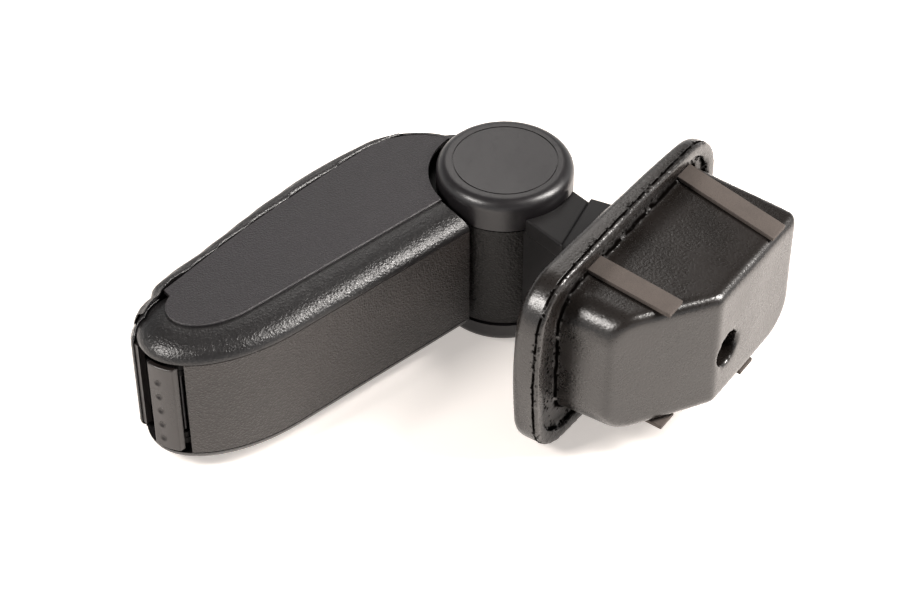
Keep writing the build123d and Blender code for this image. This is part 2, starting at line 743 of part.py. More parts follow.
def neck_collar():
    """Flared collar from the neck caps' slanted end down to the flange."""
    length, width = collar_size()
    plate = foot_plane(flange_top)
    outer = loft([neck_end_plane() * RectangleRounded(length, width, collar_proud), plate * collar_foot(0)])
    shrink = 2 * collar_wall
    flare = 2 * collar_flare - shrink
    inner_top = neck_end_plane() * Rectangle(length - shrink, width - shrink)
    inner_low = plate * (Pos(base_center(), 0) * Rectangle(length + flare, width + flare))
    hollow = loft([inner_top, inner_low])
    lid = extrude(neck_end_plane() * Rectangle(length, width), collar_wall)
    tube = slab(upright(neck_front - neck_cap_play, neck_rear + neck_cap_play), -neck_half - neck_cap_play,
                neck_half + neck_cap_play)
    return (outer - hollow) + ((outer & lid) - tube)


def flange_roof():
    """Plane of the flange's upper side, which rises towards the front."""
    tilt = radians(foot_tilt - flange_lean)
    origin = foot_down * flange_top + foot_along * flange_shift
    return Plane(origin=origin, x_dir=(cos(tilt), sin(tilt), 0), z_dir=(sin(tilt), -cos(tilt), 0))


def flange_outline(inset=0.0):
    """Bowed rectangle with large corners, centred on the flange."""
    length = flange_length / 2 - inset
    width = flange_width / 2 - inset
    x = length - flange_end_bow
    z = width - flange_side_bow
    edges = [ThreePointArc((-x, z), (0, width), (x, z)), ThreePointArc((x, z), (length, 0), (x, -z)),
             ThreePointArc((x, -z), (0, -width), (-x, -z)), ThreePointArc((-x, -z), (-length, 0), (-x, z))]
    face = make_face(edges)
    return Pos(flange_shift, 0) * fillet(face.vertices(), flange_corner - inset)


def plug():
    """Plug body below the flange, with draft, a sloping front and rounded edges."""
    start = flange_seat - flange_lip_depth
    plan = Pos((plug_front + plug_rear) / 2, 0) * Rectangle(plug_rear - plug_front, 2 * plug_half)
    plan = fillet(plan.vertices().group_by(Axis.X)[0], plug_front_corner)
    plan = fillet(plan.vertices().sort_by(Axis.X)[-2:].sort_by(Axis.Y)[-1], plug_rear_upper_corner)
    plan = fillet(plan.vertices().sort_by(Axis.X)[-2:].sort_by(Axis.Y)[0], plug_rear_lower_corner)
    body = extrude(foot_plane(start) * plan, plug_depth + flange_lip_depth, taper=plug_draft)
    slope = Polyline((plug_front - plug_edge, -(flange_seat + plug_front_depth)),
                     (plug_bottom_front, -(flange_seat + plug_depth)),
                     (plug_bottom_front, -(flange_seat + plug_depth) - plug_edge),
                     (plug_front - plug_edge, -(flange_seat + plug_depth) - plug_edge), close=True)
    body -= extrude(foot_side_plane() * make_face(slope), tall, both=True)
    low = body.edges().filter_by(lambda edge: (edge.center() - seat_point).dot(foot_down) > plug_front_depth)
    return fillet(low, plug_edge)


def foot_block():
    """Moulded foam foot: flange with a deep lip, plug and blind fixing hole."""
    rise = flange_length * tan(radians(flange_lean))
    flange = extrude(foot_plane(flange_top - rise) * flange_outline(), flange_thickness + rise)
    flange -= above_plane(flange_roof())
    flange = fillet(flange.edges().sort_by(lambda edge: edge.center().dot(foot_down))[:8], flange_top_edge)
    low = flange.edges().sort_by(lambda edge: edge.center().dot(foot_down))[-8:]
    flange = fillet(low, flange_low_edge)
    flange -= extrude(foot_plane(flange_seat - flange_lip_depth) * flange_outline(flange_lip_width), tall)
    seat = foot_plane(flange_top) * collar_foot(neck_cap_play)
    flange = flange - extrude(seat, -tall) + extrude(seat, flange_thickness - flange_lip_depth)
    block = flange + plug()
    hole = Pos(hole_place[0], hole_place[1]) * Circle(hole_radius)
    block -= extrude(foot_plane(flange_seat + plug_depth - hole_depth) * hole, tall)
    return block - bolt_rods(base_bolt_radius + base_bolt_play, flange_top - base_thickness,
                             base_bolt_length + base_bolt_play)


def foam_strip(place, lean, end):
    """Foam strip on the upper side of the plug, from the flange down to its end."""
    start = flange_seat - flange_lip_depth
    shift = tan(radians(lean))
    draft = tan(radians(plug_draft))
    corners = []
    for depth in (0.0, end + flange_lip_depth):
        for side in (-0.5, 0.5):
            corners.append((place - shift * depth + side * strip_width, -(start + depth)))
    face = make_face(Polyline(corners[0], corners[1], corners[3], corners[2], close=True))
    prism = slab(foot_side_plane() * face, 0, tall)
    reach = plug_depth * 2
    side = Plane(origin=foot_down * start, x_dir=foot_down, z_dir=foot_along * -1)
    low = plug_half - reach * draft
    wedge = Polyline((0, plug_half), (reach, low), (reach, low + strip_thickness),
                     (0, plug_half + strip_thickness), close=True)
    return prism & extrude(side * make_face(wedge), tall, both=True)


def mirrored(solid):
    """The same solid on the other side of the middle plane."""
    return mirror(solid, about=Plane.XY)


def build():
    """All pieces by name, drawn about the hinge axis."""
    shell = side_shell()
    front_strip = foam_strip(strip_front_place, strip_front_lean, strip_front_end)
    rear_strip = foam_strip(strip_rear_place, strip_rear_lean, strip_rear_end)
    low_strip = foam_strip(strip_rear_lower_place, strip_rear_lean, strip_rear_end)
    cap = neck_cap()
    return {
        "foot_block": foot_block(),
        "foam_strip_upper_front": front_strip,
        "foam_strip_upper_rear": rear_strip,
        "foam_strip_lower_front": mirrored(front_strip),
        "foam_strip_lower_rear": mirrored(low_strip),
        "bracket": bracket(),
        "bracket_bolts": bracket_bolts(),
        "neck_housing": neck_housing(),
        "neck_cap_upper": cap,
        "neck_cap_lower": mirrored(cap),
        "neck_collar": neck_collar(),
        "barrel_cover": barrel_cover(),
        "pivot_bush_upper": pivot_bush(barrel_top, bush_length, bush_flange),
        "pivot_bush_lower": pivot_bush(barrel_bottom, -bush_length, -bush_flange),
        "arm_base": arm_base(),
        "side_shell_upper": shell,
        "side_shell_lower": mirrored(shell),
        "bottom_panel": bottom_panel(),
        "rear_top_cover": rear_top_cover(),
        "disc_cap_upper": hinge_cap(upper_cap_height, upper_mouth, upper_ear),
        "disc_cap_lower": mirrored(hinge_cap(lower_cap_height, -lower_mouth, -lower_ear)),
        "pivot_bolt": pivot_bolt(),
        "pivot_nut": pivot_nut(),
        "pivot_washers": pivot_washers(),
        "shell_screws": shell_screws(),
        "lid_hinge_pin": lid_hinge_pin(),
        "latch_pin": latch_pin(),
        "lid_frame": lid_frame(),
        "lid_pad": lid_pad(),
        "latch_button": latch_button(),
        "latch_spring": latch_spring(),
    }


os.makedirs("parts", exist_ok=True)
for name, solid in build().items():
    export_step(Pos(-seat_point.X, -seat_point.Y, 0) * solid, f"parts/{name}.step")
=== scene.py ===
"""Dressed model of a car centre armrest, lying on its side on a white floor.

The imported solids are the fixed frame. Soft and moulded foam pieces get meshes of their own, and every
piece gets a finish with the grain, gloss and wear that it has in a car.
"""

import json
import logging
import math
from contextlib import contextmanager
from dataclasses import dataclass
from enum import Enum
from typing import Any, Callable, ClassVar, Iterator, Optional, Sequence, Union

import bmesh
import bpy
import numpy as np
from mathutils import Matrix, Vector, noise

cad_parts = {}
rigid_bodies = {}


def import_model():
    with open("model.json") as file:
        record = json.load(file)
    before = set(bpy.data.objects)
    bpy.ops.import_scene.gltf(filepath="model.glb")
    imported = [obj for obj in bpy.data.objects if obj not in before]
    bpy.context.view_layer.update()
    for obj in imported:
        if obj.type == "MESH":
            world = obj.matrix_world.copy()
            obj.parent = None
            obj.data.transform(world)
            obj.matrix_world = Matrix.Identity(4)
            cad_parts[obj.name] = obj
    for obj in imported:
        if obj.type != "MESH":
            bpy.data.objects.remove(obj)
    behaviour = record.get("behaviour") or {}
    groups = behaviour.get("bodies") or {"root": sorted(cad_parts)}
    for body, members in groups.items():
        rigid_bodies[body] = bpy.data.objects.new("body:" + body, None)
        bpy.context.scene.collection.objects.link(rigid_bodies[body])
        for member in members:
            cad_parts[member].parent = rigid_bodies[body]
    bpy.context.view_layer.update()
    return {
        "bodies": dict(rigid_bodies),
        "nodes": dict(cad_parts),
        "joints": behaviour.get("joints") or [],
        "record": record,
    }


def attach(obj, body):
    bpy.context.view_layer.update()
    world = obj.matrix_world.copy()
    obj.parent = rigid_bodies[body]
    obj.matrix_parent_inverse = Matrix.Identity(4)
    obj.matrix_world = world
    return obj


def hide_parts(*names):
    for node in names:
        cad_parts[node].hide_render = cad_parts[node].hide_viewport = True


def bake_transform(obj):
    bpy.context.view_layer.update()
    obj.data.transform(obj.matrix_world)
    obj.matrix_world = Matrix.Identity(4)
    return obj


LOG = logging.getLogger("armrest")
MM = 0.001
Colour = tuple[float, float, float]
Point = tuple[float, float, float]
Pair = tuple[float, float]
Frame = dict[str, Any]

# Direction down the foot, the parting line's place along it, and the height of the arm's mid line.
FOOT_DOWN: Point = (0.240228, -0.970716, 0.0)
PARTING = -3.2 * MM
MID_LINE = 126.95 * MM


class Body(Enum):
    """Moving bodies of the armrest."""

    FOOT = "foot"
    ARM = "arm"
    LID = "lid"
    LATCH = "latch"


class Slot(Enum):
    """Finish slots of the record."""

    FOOT_FOAM = "foot_foam"
    STRIP_FOAM = "strip_foam"
    LID_VINYL = "lid_vinyl"
    LATCH_PLASTIC = "latch_plastic"
    NECK_PLASTIC = "neck_plastic"
    STEEL = "steel"
    TRAY_PLASTIC = "tray_plastic"


class Signal:
    """A node's output socket that takes part in Python arithmetic."""

    def __init__(self, graph: "Graph", socket: bpy.types.NodeSocket) -> None:
        """Keeps the socket and the graph that it belongs to."""
        self.graph = graph
        self.socket = socket

    def math(self, operation: str, *operands: Union["Signal", float]) -> "Signal":
        """Adds one Math node.

        Args:
            operation: the Math node's operation.
            operands: its inputs in order.

        Returns:
            The node's value.
        """
        return self.graph.node("ShaderNodeMath", {"operation": operation}, dict(enumerate(operands)))

    def __add__(self, other: Union["Signal", float]) -> "Signal":
        """Sum."""
        return self.math("ADD", self, other)

    def __radd__(self, other: float) -> "Signal":
        """Sum with a number on the left."""
        return self.math("ADD", other, self)

    def __sub__(self, other: Union["Signal", float]) -> "Signal":
        """Difference."""
        return self.math("SUBTRACT", self, other)

    def __rsub__(self, other: float) -> "Signal":
        """Difference from a number."""
        return self.math("SUBTRACT", other, self)

    def __mul__(self, other: Union["Signal", float]) -> "Signal":
        """Product."""
        return self.math("MULTIPLY", self, other)

    def __rmul__(self, other: float) -> "Signal":
        """Product with a number on the left."""
        return self.math("MULTIPLY", other, self)

    def __abs__(self) -> "Signal":
        """Size without sign."""
        return self.math("ABSOLUTE", self)

    def step(self, low: float, high: float) -> "Signal":
        """Smooth step from 0 at low to 1 at high.

        Args:
            low: value that gives 0.
            high: value that gives 1, which may be the smaller of the two.

        Returns:
            The eased value.
        """
        ends = {"From Min": min(low, high), "From Max": max(low, high)}
        ends |= {"To Min": 0.0, "To Max": 1.0} if low < high else {"To Min": 1.0, "To Max": 0.0}
        settings = {"interpolation_type": "SMOOTHSTEP"}
        return self.graph.node("ShaderNodeMapRange", settings, {"Value": self} | ends)


class Graph:
    """Adds nodes to one node tree."""

    def __init__(self, tree: bpy.types.NodeTree) -> None:
        """Keeps the tree."""
        self.tree = tree

    def node(
        self,
        kind: str,
        settings: Optional[dict[str, Any]] = None,
        sockets: Optional[dict[Union[int, str], Any]] = None,
        out: Union[int, str] = 0,
    ) -> Optional[Signal]:
        """Adds a node of any type.

        Args:
            kind: the node's type.
            settings: its properties, set before its sockets.
            sockets: values or signals for its inputs, by name or number.
            out: the output to return.

        Returns:
            The chosen output, or None for a node without outputs.
        """
        made = self.tree.nodes.new(kind)
        for key, value in (settings or {}).items():
            setattr(made, key, value)
        for key, value in (sockets or {}).items():
            if isinstance(value, Signal):
                self.tree.links.new(value.socket, made.inputs[key])
            else:
                made.inputs[key].default_value = value
        return Signal(self, made.outputs[out]) if made.outputs else None

    def noise(self, place: Signal, size: float, detail: float = 2.0, rough: float = 0.5) -> Signal:
        """Cloudy noise.

        Args:
            place: coordinates.
            size: width of one cloud in metres.
            detail: finer layers.
            rough: strength of the finer layers.

        Returns:
            A value of about 0.5.
        """
        sockets = {"Vector": place, "Scale": 1.0 / size, "Detail": detail, "Roughness": rough}
        return self.node("ShaderNodeTexNoise", {"noise_dimensions": "3D"}, sockets)

    def cells(self, place: Signal, size: float, feature: str = "DISTANCE_TO_EDGE") -> Signal:
        """Irregular cells.

        Args:
            place: coordinates.
            size: width of one cell in metres.
            feature: distance to the cells' edges or to their middles.

        Returns:
            The distance, in cells.
        """
        settings = {"voronoi_dimensions": "3D", "feature": feature}
        return self.node("ShaderNodeTexVoronoi", settings, {"Vector": place, "Scale": 1.0 / size}, "Distance")

    def vector(self, operation: str, sockets: dict[Union[int, str], Any], out: str = "Vector") -> Signal:
        """One Vector Math node.

        Args:
            operation: its operation.
            sockets: values or signals for its inputs.
            out: the output to return.

        Returns:
            The chosen output.
        """
        return self.node("ShaderNodeVectorMath", {"operation": operation}, sockets, out)

    def warp(self, place: Signal, size: float, amount: float) -> Signal:
        """Coordinates bent by noise.

        Args:
            place: coordinates.
            size: width of one bend in metres.
            amount: largest shift in metres.

        Returns:
            The bent coordinates.
        """
        sockets = {"Vector": place, "Scale": 1.0 / size, "Detail": 1.0}
        swirl = self.node("ShaderNodeTexNoise", {}, sockets, "Color")
        middle = self.vector("SUBTRACT", {0: swirl, 1: (0.5, 0.5, 0.5)})
        shift = self.vector("SCALE", {0: middle, "Scale": 2.0 * amount})
        return self.vector("ADD", {0: place, 1: shift})

    def along(self, place: Signal, axis: Point) -> Signal:
        """Distance of a point along an axis, in metres."""
        return self.vector("DOT_PRODUCT", {0: place, 1: axis}, "Value")

    def blend(self, share: Signal, first: Union[Signal, Colour], second: Union[Signal, Colour]) -> Signal:
        """Colour between two colours.

        Args:
            share: 0 for the first, 1 for the second.
            first: a colour.
            second: a colour.

        Returns:
            The mixed colour.
        """
        ends = [c if isinstance(c, Signal) else (*c, 1.0) for c in (first, second)]
        return self.node("ShaderNodeMix", {"data_type": "RGBA"}, {0: share, 6: ends[0], 7: ends[1]}, 2)

    def shades(self, share: Signal, colour: Colour, first: float, last: float) -> Signal:
        """Shades of one colour.

        Args:
            share: 0 for the first shade, 1 for the last.
            colour: the colour.
            first: factor of the first shade.
            last: factor of the last shade.

        Returns:
            The shade.
        """
        return self.blend(share, lighter(colour, first), lighter(colour, last))

    def bump(self, height: Signal, depth: float) -> Signal:
        """Surface normal of a relief.

        Args:
            height: relief from 0 to 1.
            depth: its depth in metres.

        Returns:
            The normal.
        """
        return self.node("ShaderNodeBump", {}, {"Height": height, "Distance": depth, "Strength": 1.0})


def lighter(colour: Colour, factor: float) -> Colour:
    """The colour times a factor."""
    return tuple(min(1.0, part * factor) for part in colour)


def empty_graph(holder: Union[bpy.types.Material, bpy.types.World]) -> Graph:
    """The cleared node graph of a material or a world.

    Args:
        holder: the material or world.

    Returns:
        Its graph.
    """
    holder.use_nodes = True
    holder.node_tree.nodes.clear()
    return Graph(holder.node_tree)


@dataclass(frozen=True)
class Finish:
    """A surface: its name, its main colour and its gloss."""

    name: str
    colour: Colour
    roughness: float

    made: ClassVar[dict[str, bpy.types.Material]] = {}

    def material(self) -> bpy.types.Material:
        """The finish as a material, made once.

        Returns:
            The material.
        """
        if self.name not in Finish.made:
            material = bpy.data.materials.new(self.name)
            graph = empty_graph(material)
            place = graph.node("ShaderNodeTexCoord", out="Object")
            graph.node("ShaderNodeOutputMaterial", {}, {"Surface": self.surface(graph, place)})
            Finish.made[self.name] = material
        return Finish.made[self.name]

    def surface(self, graph: Graph, place: Signal) -> Signal:
        """Adds the finish's nodes.

        Args:
            graph: the material's graph.
            place: Object coordinates.

        Returns:
            The shader.
        """
        raise NotImplementedError

    def shader(
        self, graph: Graph, colour: Signal, roughness: Signal, normal: Signal, **fixed: float
    ) -> Signal:
        """Adds the Principled shader.

        Args:
            graph: the material's graph.
            colour: base colour.
            roughness: roughness.
            normal: surface normal.
            fixed: other sockets that are the same all over, by their names with underscores.

        Returns:
            The shader.
        """
        sockets = {"Base Color": colour, "Roughness": roughness, "Normal": normal}
        sockets |= {key.replace("_", " "): value for key, value in fixed.items()}
        return graph.node("ShaderNodeBsdfPrincipled", {}, sockets)


@dataclass(frozen=True)
class Grained(Finish):
    """Moulded plastic with a leather grain, finer on a raised island where it has one."""

    cell: float = 2.0 * MM
    depth: float = 0.3 * MM
    gloss: float = 0.5
    cloud: float = 60 * MM
    rub: float = 9 * MM
    island_from: float = 0.0
    island_edge: float = 0.3 * MM
    island_cell: float = 1.3 * MM
    island_colour: Colour = (0.02, 0.02, 0.02)
    island_roughness: float = 0.42

    def relief(self, graph: Graph, place: Signal, cell: float) -> Signal:
        """Pebbles of the grain.

        Args:
            graph: the material's graph.
            place: Object coordinates.
            cell: width of a pebble in metres.

        Returns:
            The relief, 0 in the creases and 1 on the pebbles.
        """
        bent = graph.warp(place, 1.8 * cell, 0.4 * cell)
        pebbles = graph.cells(bent, cell, "F1").step(0.75, 0.0)
        creases = graph.cells(bent, 0.55 * cell).step(0.0, 0.3)
        return 0.75 * pebbles + 0.25 * creases

    def surface(self, graph: Graph, place: Signal) -> Signal:
        """Grain with painted shade in the creases, and a worn, slightly glossier top.

        Args:
            graph: the material's graph.
            place: Object coordinates.

        Returns:
            The shader.
        """
        relief = self.relief(graph, place, self.cell)
        cloud = graph.noise(place, self.cloud, 3.0)
        rub = graph.noise(place, self.rub, 4.0, 0.6)
        # Painted shade: the colour darkens from the pebble tops into the creases.
        tone = graph.shades(relief, self.colour, 0.6, 1.25)
        rough = self.roughness + 0.1 * (0.6 - relief) + 0.1 * (rub - 0.5)
        if self.island_from:
            height = abs(graph.along(place, (0.0, 0.0, 1.0)))
            share = height.step(self.island_from - self.island_edge, self.island_from + self.island_edge)
            fine = self.relief(graph, place, self.island_cell)
            # Painted shade on the island as well, darker in its finer creases.
            tone = graph.blend(share, tone, graph.shades(fine, self.island_colour, 0.75, 1.2))
            rough = (1.0 - share) * rough + share * (self.island_roughness + 0.1 * (rub - 0.5))
            relief = (1.0 - share) * relief + 1.1 * share * fine
        tone = graph.blend(cloud.step(0.35, 0.75) * 0.35, tone, lighter(self.colour, 1.6))
        return self.shader(graph, tone, rough, graph.bump(relief, self.depth), Specular_IOR_Level=self.gloss)


@dataclass(frozen=True)
class Satin(Finish):
    """Smooth moulded plastic with a fine spark-eroded texture."""

    speck: float = 0.45 * MM
    depth: float = 0.02 * MM
    gloss: float = 0.5
    cloud: float = 45 * MM
    mark: float = 4 * MM

    def surface(self, graph: Graph, place: Signal) -> Signal:
        """Fine specks, faint handling marks and a soft change of tone.

        Args:
            graph: the material's graph.
            place: Object coordinates.

        Returns:
            The shader.
        """
        speck = graph.noise(place, self.speck, 2.0)
        cloud = graph.noise(place, self.cloud, 3.0)
        smear = graph.warp(place, 3.0 * self.mark, 1.5 * self.mark)
        marks = graph.noise(smear, self.mark, 3.0, 0.65).step(0.5, 0.75)
        tone = graph.shades(speck.step(0.3, 0.7), self.colour, 0.88, 1.12)
        tone = graph.blend(cloud.step(0.35, 0.7) * 0.3, tone, lighter(self.colour, 1.35))
        rough = self.roughness + 0.12 * (cloud - 0.5) + 0.07 * marks + 0.06 * (speck - 0.5)
        return self.shader(graph, tone, rough, graph.bump(speck, self.depth), Specular_IOR_Level=self.gloss)


@dataclass(frozen=True)
class Vinyl(Finish):
    """Coated fabric, smooth and shiny, with very fine pores."""

    pore: float = 0.8 * MM
    wave: float = 16 * MM
    rub: float = 30 * MM
    depth: float = 0.22 * MM

    def surface(self, graph: Graph, place: Signal) -> Signal:
        """Fine pores, shallow waves and rubbed patches.

        Args:
            graph: the material's graph.
            place: Object coordinates.

        Returns:
            The shader.
        """
        pores = graph.cells(graph.warp(place, 1.5 * self.pore, 0.5 * self.pore), self.pore).step(0.0, 0.3)
        waves = graph.noise(place, self.wave, 2.0)
        rub = graph.noise(place, self.rub, 4.0, 0.6)
        # Painted shade: the colour darkens along the pores' lines.
        tone = graph.shades(pores, self.colour, 0.85, 1.08)
        tone = graph.blend(rub.step(0.45, 0.8) * 0.4, tone, lighter(self.colour, 1.4))
        rough = self.roughness + 0.16 * (rub - 0.5) - 0.04 * pores
        return self.shader(graph, tone, rough, graph.bump(0.75 * waves + 0.25 * pores, self.depth))


@dataclass(frozen=True)
class FoamSkin(Finish):
    """Self-skinned foam with flow marks, pin holes and a ragged parting line round its rim."""

    cloud: float = 38 * MM
    fine: float = 1.8 * MM
    bend: Pair = (7 * MM, 0.7 * MM)
    near: Pair = (3.6 * MM, 0.8 * MM)
    line: Pair = (1.3 * MM, 0.5 * MM)
    line_break: float = 6 * MM
    pit: float = 3.0 * MM
    pit_patch: float = 9 * MM
    depth: float = 0.6 * MM
    skin: float = 0.2
    skin_roughness: float = 0.3

    def surface(self, graph: Graph, place: Signal) -> Signal:
        """Mottled gloss, painted shade in pin holes that crowd at the parting line, and the line itself.

        Args:
            graph: the material's graph.
            place: Object coordinates.

        Returns:
            The shader.
        """
        cloud = graph.noise(place, self.cloud, 4.0, 0.55)
        fine = graph.noise(place, self.fine, 2.0, 0.5)
        away = abs(graph.along(graph.warp(place, *self.bend), FOOT_DOWN) - PARTING)
        line = away.step(*self.line) * graph.noise(place, self.line_break, 3.0).step(0.3, 0.46)
        # Painted shade: the pin holes are dark dots without reflection; the parting line beside them is the
        # skin's own dark seam.
        patch = graph.noise(place, self.pit_patch).step(0.46, 0.56)
        holes = graph.cells(place, self.pit, "F1").step(0.48, 0.3) * patch
        pit_shade = (away.step(*self.near) * 0.94 + 0.03) * holes
        dark = line.math("MAXIMUM", line, pit_shade)
        tone = graph.shades(cloud.step(0.3, 0.75), self.colour, 0.8, 1.25)
        tone = graph.blend(dark, tone, lighter(self.colour, 0.15))
        rough = self.roughness + 0.16 * (cloud - 0.5) + 0.12 * (fine - 0.5) + 0.4 * dark
        normal = graph.bump(0.4 * cloud + 0.3 * fine - 0.7 * dark + 0.5, self.depth)
        coat = {"Coat_Weight": self.skin, "Coat_Roughness": self.skin_roughness}
        skin = self.shader(graph, tone, rough, normal, **coat)
        hole = self.shader(graph, tone, rough, normal, Specular_IOR_Level=0.0)
        return graph.node("ShaderNodeMixShader", {}, {0: dark, 1: skin, 2: hole})


@dataclass(frozen=True)
class OpenFoam(Finish):
    """Foam tape with fine closed pores."""

    pore: float = 0.7 * MM
    stain: float = 11 * MM
    depth: float = 0.08 * MM

    def surface(self, graph: Graph, place: Signal) -> Signal:
        """Pores of two sizes and a stained, uneven tone.

        Args:
            graph: the material's graph.
            place: Object coordinates.

        Returns:
            The shader.
        """
        bent = graph.warp(place, 1.5 * self.pore, 0.5 * self.pore)
        large = graph.cells(bent, self.pore, "F1").step(0.1, 0.55)
        small = graph.noise(place, 0.5 * self.pore, 3.0, 0.7)
        stain = graph.noise(place, self.stain, 4.0, 0.6)
        relief = 0.5 * large + 0.5 * small
        # Painted shade: the colour darkens in the pores.
        tone = graph.shades(relief.step(0.2, 0.75), self.colour, 0.75, 1.15)
        tone = graph.blend(stain.step(0.42, 0.75) * 0.4, tone, lighter(self.colour, 0.7))
        rough = self.roughness + 0.1 * (small - 0.5)
        return self.shader(graph, tone, rough, graph.bump(relief, self.depth))


@dataclass(frozen=True)
class Steel(Finish):
    """Zinc-plated or spring steel with fine drawn lines."""

    line: float = 0.35 * MM
    drawn: Point = (1.0, 1.0, 0.06)
    spangle: float = 2.4 * MM
    depth: float = 0.01 * MM

    def surface(self, graph: Graph, place: Signal) -> Signal:
        """Drawn lines along the hinge axis and a spangled zinc tone.

        Args:
            graph: the material's graph.
            place: Object coordinates.

        Returns:
            The shader.
        """
        lines = graph.noise(graph.vector("MULTIPLY", {0: place, 1: self.drawn}), self.line, 3.0, 0.6)
        spangle = graph.cells(place, self.spangle, "F1")
        tone = graph.shades(spangle.step(0.1, 0.8), self.colour, 1.1, 0.8)
        rough = self.roughness + 0.18 * (lines - 0.5)
        return self.shader(graph, tone, rough, graph.bump(lines, self.depth), Metallic=1.0)


@dataclass(frozen=True)
class CoatedSteel(Finish):
    """Black dip coat on sheet steel, with an orange-peel surface."""

    peel: float = 1.8 * MM
    chip: float = 3.5 * MM
    bare: Colour = (0.34, 0.33, 0.32)
    depth: float = 0.04 * MM

    def surface(self, graph: Graph, place: Signal) -> Signal:
        """Orange peel, and a few chips that show the metal.

        Args:
            graph: the material's graph.
            place: Object coordinates.

        Returns:
            The shader.
        """
        peel = graph.noise(place, self.peel, 2.0)
        chips = graph.noise(place, self.chip, 5.0, 0.7).step(0.72, 0.78)
        tone = graph.shades(peel.step(0.3, 0.7), self.colour, 0.8, 1.2)
        tone = graph.blend(chips, tone, self.bare)
        rough = self.roughness + 0.15 * (peel - 0.5) + 0.1 * chips
        return self.shader(graph, tone, rough, graph.bump(peel - chips, self.depth))


SHELL = Grained(
    "shell_grain",
    (0.0095, 0.0088, 0.009),
    0.3,
    cell=1.9 * MM,
    depth=0.19 * MM,
    island_from=50.4 * MM,
    island_colour=(0.02, 0.0175, 0.0195),
)
PANEL = Grained("panel_grain", (0.015, 0.0118, 0.0105), 0.36, cell=1.7 * MM, depth=0.38 * MM)
BARREL = Grained("barrel_grain", (0.0075, 0.0066, 0.006), 0.34, cell=2.0 * MM, depth=0.36 * MM, gloss=0.25)
CAP = Satin("cap_satin", (0.009, 0.008, 0.0088), 0.34)
NECK = Satin("neck_plastic", (0.0095, 0.009, 0.0092), 0.4, speck=0.7 * MM, depth=0.035 * MM, gloss=0.18)
TRAY = Satin("tray_plastic", (0.007, 0.0065, 0.0065), 0.5, speck=0.9 * MM, depth=0.04 * MM, gloss=0.12)
BOARD = Satin("lid_board_plastic", (0.013, 0.0112, 0.0108), 0.36, speck=0.6 * MM, depth=0.02 * MM)
LATCH = Satin("latch_satin", (0.013, 0.0104, 0.0096), 0.28, speck=0.4 * MM, depth=0.015 * MM)
VINYL = Vinyl("lid_vinyl", (0.012, 0.011, 0.0112), 0.28)
FOOT_SKIN = FoamSkin("foot_foam_skin", (0.0085, 0.0066, 0.0056), 0.28)
STRIP = OpenFoam("strip_foam", (0.058, 0.0465, 0.04), 0.85)
STEEL = Steel("zinc_steel", (0.56, 0.56, 0.57), 0.32)
BLACKED = Steel("blacked_steel", (0.05, 0.05, 0.052), 0.38)
SPRING = Steel("spring_steel", (0.02, 0.019, 0.019), 0.5)
COAT = CoatedSteel("bracket_coat", (0.02, 0.02, 0.021), 0.36)
ACETAL = Satin("bush_acetal", (0.6, 0.58, 0.53), 0.42, speck=0.8 * MM, depth=0.01 * MM)


def dress(piece: bpy.types.Object, finish: Finish) -> None:
    """Puts one finish on all of a new piece."""
    piece.data.materials.clear()
    piece.data.materials.append(finish.material())


def dress_faces(piece: bpy.types.Object, finish: Finish, chosen: Callable[[Vector], bool]) -> None:
    """Puts a second finish on some faces of a dressed piece.

    Args:
        piece: a mesh object with one finish.
        finish: the second finish.
        chosen: tells from a face's centre whether it takes the second finish.
    """
    piece.data.materials.append(finish.material())
    for face in piece.data.polygons:
        face.material_index = int(chosen(face.center))


def dress_nodes(frame: Frame, finishes: dict[str, Finish]) -> list[bpy.types.Object]:
    """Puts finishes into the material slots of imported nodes.

    Args:
        frame: the loaded frame.
        finishes: each node's finish.

    Returns:
        The nodes' objects.
    """
    for node, finish in finishes.items():
        for entry in frame["nodes"][node].material_slots:
            entry.material = finish.material()
    return [frame["nodes"][node] for node in finishes]


def enlist(piece: bpy.types.Object, slot: Slot, body: Body, *nodes: str) -> bpy.types.Object:
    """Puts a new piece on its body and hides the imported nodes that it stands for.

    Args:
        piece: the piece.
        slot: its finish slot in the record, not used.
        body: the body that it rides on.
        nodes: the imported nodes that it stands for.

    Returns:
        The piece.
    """
    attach(piece, body.value)
    if nodes:
        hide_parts(*nodes)
    return piece


@contextmanager
def editing(mesh: bpy.types.Mesh) -> Iterator[bmesh.types.BMesh]:
    """Opens a mesh for editing, and writes it back at the end.

    Args:
        mesh: the mesh.

    Yields:
        Its editable form.
    """
    work = bmesh.new()
    work.from_mesh(mesh)
    yield work
    work.to_mesh(mesh)
    work.free()


def add_piece(name: str, mesh: bpy.types.Mesh) -> bpy.types.Object:
    """An object of that mesh, at the origin and in the scene.

    Args:
        name: its name.
        mesh: its mesh.

    Returns:
        The object.
    """
    piece = bpy.data.objects.new(name, mesh)
    bpy.context.scene.collection.objects.link(piece)
    return piece


def node_copy(frame: Frame, node: str, name: str, join: float = 0.004 * MM) -> bpy.types.Object:
    """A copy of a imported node, with its loose triangles joined.

    Args:
        frame: the loaded frame.
        node: the node's name.
        name: the copy's name.
        join: how near points are that become one.

    Returns:
        The copy.
    """
    mesh = frame["nodes"][node].data.copy()
    mesh.name = name
    with editing(mesh) as work:
        bmesh.ops.remove_doubles(work, verts=work.verts, dist=join)
    return add_piece(name, mesh)


def settle(piece: bpy.types.Object) -> None:
    """Turns a piece with modifiers into a plain mesh, and removes them.

    Args:
        piece: the piece.
    """
    graph = bpy.context.evaluated_depsgraph_get()
    mesh = bpy.data.meshes.new_from_object(piece.evaluated_get(graph))
    piece.modifiers.clear()
    old, piece.data = piece.data, mesh
    bpy.data.meshes.remove(old)
    mesh.name = piece.name


def smooth(piece: bpy.types.Object) -> None:
    """Shades a piece smooth."""
    piece.data.polygons.foreach_set("use_smooth", np.ones(len(piece.data.polygons), dtype=bool))
    piece.data.update()


